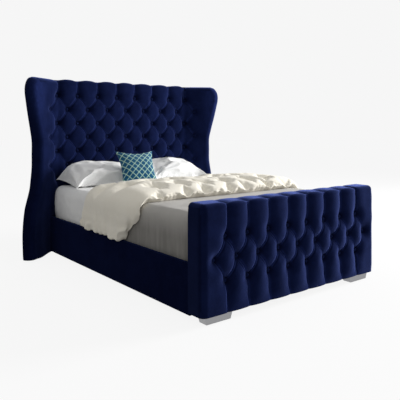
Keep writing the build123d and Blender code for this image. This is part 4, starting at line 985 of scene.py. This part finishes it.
# Cloth over the mattress: up the side from the hem, round the top edge and in to the middle line.
# Returns points, the flat coordinates, and for each point how far down the side it hangs.
def bedCloth(outline, hem, off, sideSteps=22, topSteps=40):
    px, py, nx, ny, midY = outline
    m = mattress
    e = m["edge"]
    low = np.linspace(hem, m["top"] - e, sideSteps)
    turn = np.radians(np.linspace(0, 90, 8))[1:]
    share = np.linspace(0, 1, topSteps)[1:] ** 0.9
    rows, flats, hangs = [], [], []
    for level in low:
        rows.append(np.stack([px + nx * off, py + ny * off, np.full(len(px), level)], -1))
        hang = m["top"] - e - level + e * pi / 2
        flats.append(np.stack([px - nx * e + nx * hang, py - ny * e + ny * hang], -1))
        hangs.append(np.full(len(px), m["top"] - level))
    for angle in turn:
        out, level = -e + (e + off) * cos(angle), m["top"] - e + (e + off) * sin(angle)
        rows.append(np.stack([px + nx * out, py + ny * out, np.full(len(px), level)], -1))
        hang = e * (pi / 2 - angle)
        flats.append(np.stack([px - nx * e + nx * hang, py - ny * e + ny * hang], -1))
        hangs.append(np.full(len(px), e * (1 - sin(angle))))
    ix, iy = px - nx * e, py - ny * e
    for part in share:
        x, y = ix * (1 - part), iy + (midY - iy) * part
        rows.append(np.stack([x, y, np.full(len(px), m["top"] + off)], -1))
        flats.append(np.stack([x, y], -1))
        hangs.append(np.zeros(len(px)))
    return np.stack(rows), np.stack(flats), np.stack(hangs)


# Gives a cloth its thickness inwards.
def thicken(piece, thickness):
    modifier = piece.modifiers.new("thickness", "SOLIDIFY")
    modifier.thickness = thickness
    modifier.offset = -1
    modifier.use_even_offset = False


clothRun = {"frames": 16, "quality": 5, "mass": 0.3, "tension": 15.0, "bending": 0.5}


# Cloth run on a closed piece: pressure swells it and spare cloth wrinkles it between the points that
# its "held" mark keeps. Each point's way is cut to the cap, and inwards to its "room" mark.
def inflate(piece, pressure, grow, cap, soften=0):
    mesh = piece.data
    count = len(mesh.vertices)
    start, lean, after = (np.empty(count * 3, np.float32) for _ in range(3))
    held, room = np.empty(count, np.float32), np.empty(count, np.float32)
    mesh.vertices.foreach_get("co", start)
    mesh.vertices.foreach_get("normal", lean)
    mesh.attributes["held"].data.foreach_get("value", held)
    mesh.attributes["room"].data.foreach_get("value", room)
    piece.vertex_groups.new(name="held").add(np.flatnonzero(held > 0.5).tolist(), 1.0, "REPLACE")
    cloth = piece.modifiers.new("cloth", "CLOTH")
    cloth.settings.vertex_group_mass = "held"
    cloth.settings.quality = clothRun["quality"]
    cloth.settings.mass = clothRun["mass"]
    cloth.settings.tension_stiffness = cloth.settings.compression_stiffness = clothRun["tension"]
    cloth.settings.bending_stiffness = clothRun["bending"]
    cloth.settings.shrink_min = -grow
    cloth.settings.use_pressure = True
    cloth.settings.uniform_pressure_force = pressure
    cloth.settings.effector_weights.gravity = 0
    cloth.collision_settings.use_collision = False
    for frame in range(1, clothRun["frames"] + 1):
        scene.frame_set(frame)
    swollen = piece.evaluated_get(bpy.context.evaluated_depsgraph_get())
    swollen.data.vertices.foreach_get("co", after)
    piece.modifiers.remove(cloth)
    piece.vertex_groups.clear()
    scene.frame_set(1)
    move = (after - start).reshape(-1, 3)
    length = np.linalg.norm(move, axis=1, keepdims=True)
    print("swell", piece.name, round(float(length.max()), 4), round(float(length.mean()), 4))
    move *= np.minimum(1, cap / np.maximum(length, 1e-9))
    lean = lean.reshape(-1, 3)
    sunk = np.maximum(-(move * lean).sum(1) - room, 0)
    move += lean * sunk[:, None]
    mesh.vertices.foreach_set("co", (start.reshape(-1, 3) + move).astype(np.float32).ravel())
    mesh.update()
    if soften:
        calm = piece.modifiers.new("calm", "SMOOTH")
        calm.factor, calm.iterations = 0.5, soften
    finer = piece.modifiers.new("finer", "SUBSURF")
    finer.levels = finer.render_levels = 1


# Mattress: its upper half as cloth over a block, sunk along the quilting, where the sine of the sum
# or of the difference of x and y is nought, and the same turned over for the lower half.
def makeMattress():
    m = mattress
    top, flat, hang = bedCloth(bedRound(), (m["base"] + m["top"]) / 2, 0.0, 12, 40)
    x, y = top[..., 0], top[..., 1]
    quilt = np.abs(np.sin(pi * (x + y) / m["quilt"]) * np.sin(pi * (x - y) / m["quilt"])) ** 0.4
    top[..., 2] -= m["quiltDepth"] * (1 - quilt) * (hang < 1e-6)
    low = top.copy()
    low[..., 2] = m["base"] + m["top"] - top[..., 2]
    loop = np.concatenate([low[::-1], top[1:]], 0)
    cells = gridCells(loop.shape[0], loop.shape[1], wrapColumns=True)
    piece = makePiece("mattressCore", loop, cells, "ticking", "mattress", ["mattress"], weld=3e-4,
                      uv=np.concatenate([flat[::-1], flat[1:]], 0))


sheetForm = {"hem": 0.308, "off": 0.0023, "thickness": 0.0018, "belly": 0.017, "bellyFrom": 0.335,
             "bellyTall": 0.245, "crease": 0.0045, "creaseSize": 0.13, "fold": 0.004, "foldSize": 0.11}


# Fitted sheet: stretched over the mattress, with soft creases where nothing lies on it.
def makeFittedSheet():
    f = sheetForm
    outline = bedRound()
    nx, ny = outline[2:4]
    points, flat, hang = bedCloth(outline, f["hem"], f["off"])
    y, z, along = points[..., 1], points[..., 2], flat[..., 1]
    bare = smooth(0.05, 0.35, y) * smooth(0.0, 0.08, 0.99 - y)
    crease = np.abs(ripple(flat[..., 0], along, f["creaseSize"], 31)) ** 1.5
    onSide = smooth(0.02, 0.06, hang)
    out = f["crease"] * crease * bare * (1 - 0.4 * onSide)
    folds = np.sin(along * 2 * pi / f["foldSize"] + 2 * np.sin(along * 9))
    down = smooth(0, 0.16, hang) * (0.5 + 0.5 * folds)
    out += f["fold"] * down * bare * smooth(0.318, 0.36, z)
    belly = np.sin(pi * np.clip((z - f["bellyFrom"]) / f["bellyTall"], 0, 1)) ** 0.8
    free = smooth(0.22, 0.42, y) * smooth(0.0, 0.08, 0.985 - y)
    out += f["belly"] * belly * free * (1 + 0.25 * np.sin(y * 2 * pi / 0.31 + 1.0))
    points[..., 0] += nx * out * onSide
    points[..., 1] += ny * out * onSide
    points[..., 2] += out * (1 - onSide)
    cells = gridCells(points.shape[0], points.shape[1], wrapColumns=True)
    piece = makePiece("fittedSheet", points, cells, "white_cotton", "mattress", ["fitted_sheet"],
                      weld=3e-4, uv=flat)
    thicken(piece, f["thickness"])


throwCloth = {"backY": -0.0455, "hem": 0.308, "off": 0.0072, "thickness": 0.0042, "foldReach": 0.0105,
              "foldSize": 0.067, "lieWave": 0.0045, "lieSize": 0.34}


# Throw: laid over the foot half and hung down three sides, with soft folds along both long sides.
def makeThrow():
    t = throwCloth
    outline = bedRound(startY=t["backY"], closed=False)
    points, flat, hang = bedCloth(outline, t["hem"], t["off"])
    nx, along = outline[2], points[..., 1]
    folds = np.sin(along * 2 * pi / t["foldSize"] + 1.3 * np.sin(along * 2 * pi / 0.31)) * 0.5 + 0.5
    folds = folds ** 1.4 * (0.65 + 0.35 * ripple(along, 0 * along, 0.2, 41))
    held = smooth(0.05, 0.24, hang) * smooth(0.333, 0.352, points[..., 2]) * smooth(-0.92, -0.86, along)
    swell = t["foldReach"] * np.clip(folds, 0, 1) * held * (1 - smooth(-0.44, -0.40, along))
    points[..., 0] += nx * swell
    lie = (1 - smooth(0.0, 0.01, hang)) * (1 - smooth(-0.52, -0.46, along)) * smooth(-0.97, -0.9, along)
    points[..., 2] += t["lieWave"] * np.abs(ripple(flat[..., 0], flat[..., 1], t["lieSize"], 42)) * lie
    cells = gridCells(*points.shape[:2])
    # Its hang mark carries the painted shade of the hanging sides.
    piece = makePiece("bedThrow", points, cells, "grey_cotton", "throw", ["throw"], weld=3e-4, uv=flat,
                      marks={"hang": smooth(0.0, 0.16, hang)})
    thicken(piece, t["thickness"])


duvetForm = {
    "frontY": -0.4545, "width": 0.690, "height": 0.086, "lie": 0.0085, "leftHem": 0.333, "rightHem": 0.375,
    "lip": 0.07, "tuckUnder": 0.032, "tipY": -0.03, "tipLength": 0.44, "tipOut": 0.044, "tipDrop": 0.020,
    "endRound": 0.035, "gather": 0.011, "gatherSize": 0.085, "hemWave": 0.008, "wave": 0.004,
    "front": (0.295, 0.21, 0.07, 0.02, 0.0, 0.02, 0.0, 0.01, 0.02, 0.04, 0.08),
    "back": (1.285, 1.25, 1.14, 1.08, 1.04, 1.00, 1.01, 0.98, 0.96, 0.98, 0.98),
    "thick": (0.34, 0.50, 0.56, 0.62, 0.78, 0.98, 0.94, 0.96, 0.80, 0.60, 0.34),
    "run": {"pressure": 5.0, "grow": 0.12, "cap": 0.024, "soften": 2},
}


# Path of the duvet across the bed by its length from the left hem: place, outward direction, and
# the front and back edges and thickness there as shares.
def duvetPath(count):
    m, d = mattress, duvetForm
    e, r = m["edge"], m["edge"] + d["lie"]
    leftDrop = m["top"] - e - d["leftHem"]
    rightDrop = m["top"] - e - d["rightHem"]
    width = 2 * (m["half"] - e)
    marks = np.cumsum([0, leftDrop, r * pi / 2, width, r * pi / 2, rightDrop])
    s = np.linspace(0, marks[-1], count)
    turnLeft = np.clip((s - marks[1]) / r, 0, pi / 2)
    turnRight = np.clip((s - marks[3]) / r, 0, pi / 2)
    flat = np.clip(s - marks[2], 0, width)
    x = -(m["half"] - e) - r * np.cos(turnLeft) + flat + r * np.sin(turnRight)
    z = d["leftHem"] + np.clip(s, 0, leftDrop) + r * np.sin(turnLeft) - r * (1 - np.cos(turnRight))
    z -= np.clip(s - marks[4], 0, rightDrop)
    ox = np.where(s < marks[2], -np.cos(turnLeft), np.sin(turnRight))
    oz = np.where(s < marks[2], np.sin(turnLeft), np.cos(turnRight))
    knots = [0, 0.28 * leftDrop, 0.70 * leftDrop, leftDrop, marks[2]]
    knots += [marks[2] + share * width for share in (0.18, 0.5, 0.8)] + list(marks[3:])
    return [s, x, z, ox, oz] + [flow(s, knots, d[key]) for key in ("front", "back", "thick")]


pinch = {"spacing": 0.20, "rows": (0.022, 0.19, 0.37, 0.56), "shift": 0.03, "depth": 0.5, "reach": 0.036,
         "heldReach": 0.011}


# Places of the pinched tucks: staggered rows across the bed at their distances behind the front edge.
def pinchPlaces(length, from_, to):
    draw = np.random.default_rng(77)
    places = []
    for j, back in enumerate(pinch["rows"]):
        for i in range(int(length / pinch["spacing"]) + 1):
            s = (i + 0.5 * (j % 2)) * pinch["spacing"] + draw.uniform(-1, 1) * pinch["shift"]
            y = back + draw.uniform(-1, 1) * pinch["shift"] * 0.6
            if from_ < s < to:
                places.append((s, y))
    return places


# Duvet: an upper skin puffed over a lower one that lies on the throw, joined round the edges. The
# puff follows a flattened arch across its width, sunk at the pinched tucks, and cloth swells and
# wrinkles it between them.
def makeDuvet():
    d = duvetForm
    s, x, z, ox, oz, front, back, thick = duvetPath(210)
    share = np.linspace(0, 1, 84)
    v = 0.5 - 0.5 * np.cos(pi * share) * (0.75 + 0.25 * np.abs(np.cos(pi * share)))
    y = d["frontY"] + d["width"] * (front[:, None] + (back - front)[:, None] * v)
    arch = (1 - (1 - d["lip"]) * np.abs(2 * v - 1) ** 3.2) ** 0.5
    ends = np.minimum(s, s[-1] - s)
    endRound = np.sqrt(np.clip(1 - (1 - np.clip(ends / d["endRound"], 0, 1)) ** 2, 0, 1))
    sGrid = np.broadcast_to(s[:, None], y.shape)
    full = d["height"] * thick[:, None] * arch * (0.12 + 0.88 * endRound)[:, None]
    hemGather = np.sin(y * 2 * pi / d["gatherSize"] + 1.7 * np.sin(y * 2 * pi / 0.33))
    hemGather = hemGather * np.exp(-(ends / 0.11) ** 2)[:, None]
    hemWave = d["hemWave"] * ripple(sGrid, y, 0.12, 52) * np.exp(-(s / 0.13) ** 2)[:, None]
    waves = d["gather"] * hemGather + hemWave + d["wave"] * ripple(sGrid, y, 0.3, 51)
    full += waves * smooth(0.0, 0.5, full / d["height"])
    held, pit = np.zeros(y.shape), np.zeros(y.shape)
    inFront = y - y[:, :1]
    for place, behind in pinchPlaces(s[-1], 0.30, s[-1] - 0.20):
        near = np.hypot(sGrid - place, inFront - behind)
        pit = np.maximum(pit, np.exp(-(near / pinch["reach"]) ** 1.4))
        held = np.maximum(held, near < pinch["heldReach"])
    upper = np.maximum(full * (1 - pinch["depth"] * pit), 0.003)
    upper = np.minimum(upper, d["height"])
    tip = (1 - smooth(d["tipY"], d["tipY"] + d["tipLength"], y)) * np.exp(-(s / 0.07) ** 2)[:, None]
    outward = d["tipOut"] * smooth(0.0, 0.25, tip) * smooth(0.0, 0.05, v)
    upper = np.maximum(upper, outward + 0.008 * hemGather * smooth(0.0, 0.25, tip) * smooth(0.02, 0.12, v))
    droop = d["tipDrop"] * tip * smooth(0.02, 0.04, upper)
    lower = np.zeros(upper.shape)
    held = np.maximum(held, (upper < 0.006))
    under = y + d["tuckUnder"] * (np.exp(-(v / 0.03) ** 2) - np.exp(-((1 - v) / 0.03) ** 2))
    skins = []
    for lift, along, sag in ((upper, y, droop), (lower, under, lower)):
        level = z[:, None] + oz[:, None] * lift - sag
        skins.append(np.stack([x[:, None] + ox[:, None] * lift, along, level], -1))
    loop = np.concatenate([skins[0], skins[1][:, ::-1]], 1)
    flat = np.stack([sGrid, y], -1)
    flat = np.concatenate([flat, flat[:, ::-1]], 1)
    marks = {"held": np.concatenate([held, np.ones(y.shape)], 1),
             "room": np.concatenate([np.maximum(upper * 0.75, 0), np.zeros(y.shape)], 1)}
    rows, columns = loop.shape[:2]
    index = np.arange(rows * columns).reshape(rows, columns)
    half = columns // 2
    cells = gridCells(rows, columns, wrapColumns=True)
    for row in (0, rows - 1):
        a, b = index[row, :half - 1], index[row, 1:half]
        c, e = index[row, ::-1][1:half], index[row, ::-1][:half - 1]
        cells.append(np.stack([a, b, c, e], -1))
    piece = makePiece("duvetBand", loop, cells, "cream_cotton", "duvet", ["duvet"], marks=marks, uv=flat,
                      crease=85)
    inflate(piece, **d["run"])


# A form is its width, depth, height and how far its sides draw in.
pillow = {"form": (0.70, 0.405, 0.214, 0.016), "lean": radians(13), "squashTo": 0.012,
          "rightDroop": (0.36, 1.0, 0.74),
          "run": {"pressure": 1.3, "grow": 0.045, "cap": 0.03, "soften": 7}}
cushion = {"form": (0.34, 0.34, 0.112, 0.026), "lean": radians(58), "turn": radians(-12),
           "run": {"pressure": 1.2, "grow": 0.03, "cap": 0.008}}


# Pillow form: sides drawn in between pointed corners, and a crown that falls to the seam all round.
def pillowForm(width, depth, height, draw, seed, n=(96, 64)):
    u, v = np.meshgrid(np.sin(np.linspace(-pi / 2, pi / 2, n[0])) * 0.6 + np.linspace(-1, 1, n[0]) * 0.4,
                       np.sin(np.linspace(-pi / 2, pi / 2, n[1])) * 0.6 + np.linspace(-1, 1, n[1]) * 0.4)
    x = u * (width / 2 - draw * (1 - v ** 2))
    y = v * (depth / 2 - draw * (1 - u ** 2))
    crownHeight = height / 2 * ((1 - np.abs(u) ** 3.2) * (1 - np.abs(v) ** 2.6)) ** 0.58
    edge = 1 - np.maximum(np.abs(u), np.abs(v))
    faces = []
    for side, shift in ((1, 0), (-1, 9)):
        body = crownHeight + 0.005 * ripple(x, y, 0.2, seed + shift) * smooth(0, 0.3, edge)
        faces.append(np.stack([x, y, side * np.maximum(body, 0) * (edge > 1e-9)], -1))
    return faces, np.stack([u * 0.5 + 0.5, v * 0.5 + 0.5], -1)


# Points turned about x, then about z.
def turned(points, aboutX, aboutZ=0.0):
    cx, sx, cz, sz = cos(aboutX), sin(aboutX), cos(aboutZ), sin(aboutZ)
    matrix = np.array([[cz, -sz * cx, sz * sx], [sz, cz * cx, -cz * sx], [0, sx, cx]])
    return points @ matrix.T


# Sets a pillow form down inside the box of its CAD node, its outer end drooping, flattened where it
# rests on the sheet, and swollen by a cloth run that holds its resting face.
def makePillow(name, node, finish, form, lean, turn, body, swell, outer=0, squashTo=0.0,
               droop=(0.62, 1.12, 0.66)):
    faces, flat = form
    rows, columns = flat.shape[:2]
    points = np.concatenate([face.reshape(-1, 3) for face in faces])
    points = turned(points, lean, turn)
    low, high = [np.array(corner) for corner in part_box(node)]
    middle = (points.min(0) + points.max(0)) / 2
    points += np.array([(low[0] + high[0]) / 2 - middle[0], high[1] - points[:, 1].max(), 0])
    drop = low[2] - points[:, 2].min() - squashTo
    points[:, 2] += drop
    rest = low[2]
    deep = np.maximum(rest + 0.02 - points[:, 2], 0)
    points[:, 2] = np.where(deep > 0, rest + 0.02 - 0.02 * np.tanh(deep / 0.02), points[:, 2])
    if outer:
        middleX, halfX = 0.5 * (low[0] + high[0]), (high[0] - low[0]) / 2
        reach = np.clip((points[:, 0] * outer - (middleX * outer)) / halfX, 0, 1)
        kept = 1 - droop[2] * smooth(droop[0], droop[1], reach)
        points[:, 2] = rest + 0.002 + (points[:, 2] - rest - 0.002) * kept
    first = rows * columns
    one, two = gridCells(rows, columns)[0], gridCells(rows, columns, first=first)[0][:, ::-1]
    uv = np.concatenate([flat.reshape(-1, 2), flat.reshape(-1, 2)])
    marks = {"held": (points[:, 2] < rest + 0.012).astype(float), "room": np.full(len(points), 0.012)}
    piece = makePiece(name, points, [one, two], finish, body, [node], marks=marks, uv=uv, crease=120)
    inflate(piece, **swell)


makeMattress()
makeFittedSheet()
makeThrow()
makeDuvet()
makePillow("pillowRight", "pillow_right", "white_cotton", pillowForm(*pillow["form"], 3), pillow["lean"],
           0.0, "pillow_right", pillow["run"], 1, pillow["squashTo"], pillow["rightDroop"])
makePillow("pillowLeft", "pillow_left", "white_cotton", pillowForm(*pillow["form"], 7), pillow["lean"],
           0.0, "pillow_left", pillow["run"], -1, pillow["squashTo"])
makePillow("trellisCushion", "cushion", "teal_trellis", pillowForm(*cushion["form"], 5, (56, 56)),
           cushion["lean"], cushion["turn"], "cushion", cushion["run"])
print("stage: bedding made")

for pieceName, name, finish in (("footboardBack", "footboard_back_cover", "back_cloth"),
                                ("headboardBack", "headboard_back_cover", "back_cloth"),
                                ("headboardLower", "headboard_lower_cover", "velvet")):
    low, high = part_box(name)
    yBack, yFace = (high[1], low[1]) if pieceName == "headboardLower" else (low[1], high[1])
    makePanel(pieceName, name, (low[0], high[0]), (low[2], high[2]), yBack, yFace, finish, 0.003)
print("stage: panels made")

studio = {"white": 0.922, "ambient": 0.45, "keyPower": 640.0, "keyAt": (6.0, -2.25, 2.3), "keySize": 2.4,
          "fillPower": 20.0, "fillAt": (0.2, -1.5, 5.0), "fillSize": 4.0,
          "floorGlow": 0.85, "floorColour": 0.6,
          "floorHalf": 30.0, "aim": (0, 0.1, 0.6)}
view = {"place": (-2.569, -3.3755, 1.099), "turn": -38.1, "lens": 47.358, "shift": -0.1823}


# A square soft lamp that looks at the bed's middle.
def addLamp(name, place, size, power):
    data = bpy.data.lights.new(name, "AREA")
    data.energy = power
    data.size = size
    lamp = bpy.data.objects.new(name, data)
    scene.collection.objects.link(lamp)
    lamp.location = place
    aim = np.array(studio["aim"]) - np.array(place)
    lamp.rotation_euler = Vector(aim).to_track_quat("-Z", "Y").to_euler()


# World and floor look white to the camera and to reflections, and light the bed more dimly.
def makeStudio():
    world = bpy.data.worlds.new("studio")
    scene.world = world
    world.use_nodes = True
    tree = world.node_tree
    rays = addNode(tree, "LightPath").outputs
    seen = mathNode(tree, "MAXIMUM", rays["Is Camera Ray"], rays["Is Glossy Ray"])
    seen = mathNode(tree, "MAXIMUM", seen, rays["Is Transmission Ray"])
    strength = addNode(tree, "MapRange", Value=seen, n1=0.0, n2=1.0, n3=studio["ambient"],
                       n4=studio["white"])
    tree.links.new(strength.outputs[0], tree.nodes["Background"].inputs["Strength"])
    tree.nodes["Background"].inputs["Color"].default_value = (1, 1, 1, 1)
    floorMesh = bpy.data.meshes.new("floor")
    h = studio["floorHalf"]
    floorMesh.from_pydata([(-h, -h, 0), (h, -h, 0), (h, h, 0), (-h, h, 0)], [], [(0, 1, 2, 3)])
    floorPiece = bpy.data.objects.new("floor", floorMesh)
    scene.collection.objects.link(floorPiece)
    grey = (studio["floorColour"],) * 3 + (1,)
    tree, shader, _ = newFinish("floor", Base_Color=grey, Roughness=1.0, Specular_IOR_Level=0.0)
    rays = addNode(tree, "LightPath").outputs
    dim = studio["floorColour"] * studio["ambient"] * (1 - studio["floorGlow"])
    bright = (studio["white"] - dim) / studio["floorGlow"]
    glow = addNode(tree, "Emission", Color=(1, 1, 1, 1), Strength=bright)
    seen = mathNode(tree, "MAXIMUM", rays["Is Camera Ray"], rays["Is Glossy Ray"])
    seen = mathNode(tree, "MULTIPLY", seen, studio["floorGlow"])
    blend = addNode(tree, "MixShader", n0=seen, n1=shader.outputs[0], n2=glow.outputs[0])
    tree.links.new(blend.outputs[0], tree.nodes["Material Output"].inputs["Surface"])
    floorMesh.materials.append(finishes["floor"])
    addLamp("key", studio["keyAt"], studio["keySize"], studio["keyPower"])
    addLamp("fill", studio["fillAt"], studio["fillSize"], studio["fillPower"])
    data = bpy.data.cameras.new("camera")
    data.lens = view["lens"]
    data.sensor_width = 36
    data.shift_y = view["shift"]
    camera = bpy.data.objects.new("camera", data)
    scene.collection.objects.link(camera)
    camera.location = view["place"]
    camera.rotation_euler = (radians(90), 0, radians(view["turn"]))
    scene.camera = camera
    scene.view_settings.view_transform = "Standard"


makeStudio()
print("stage: studio set")
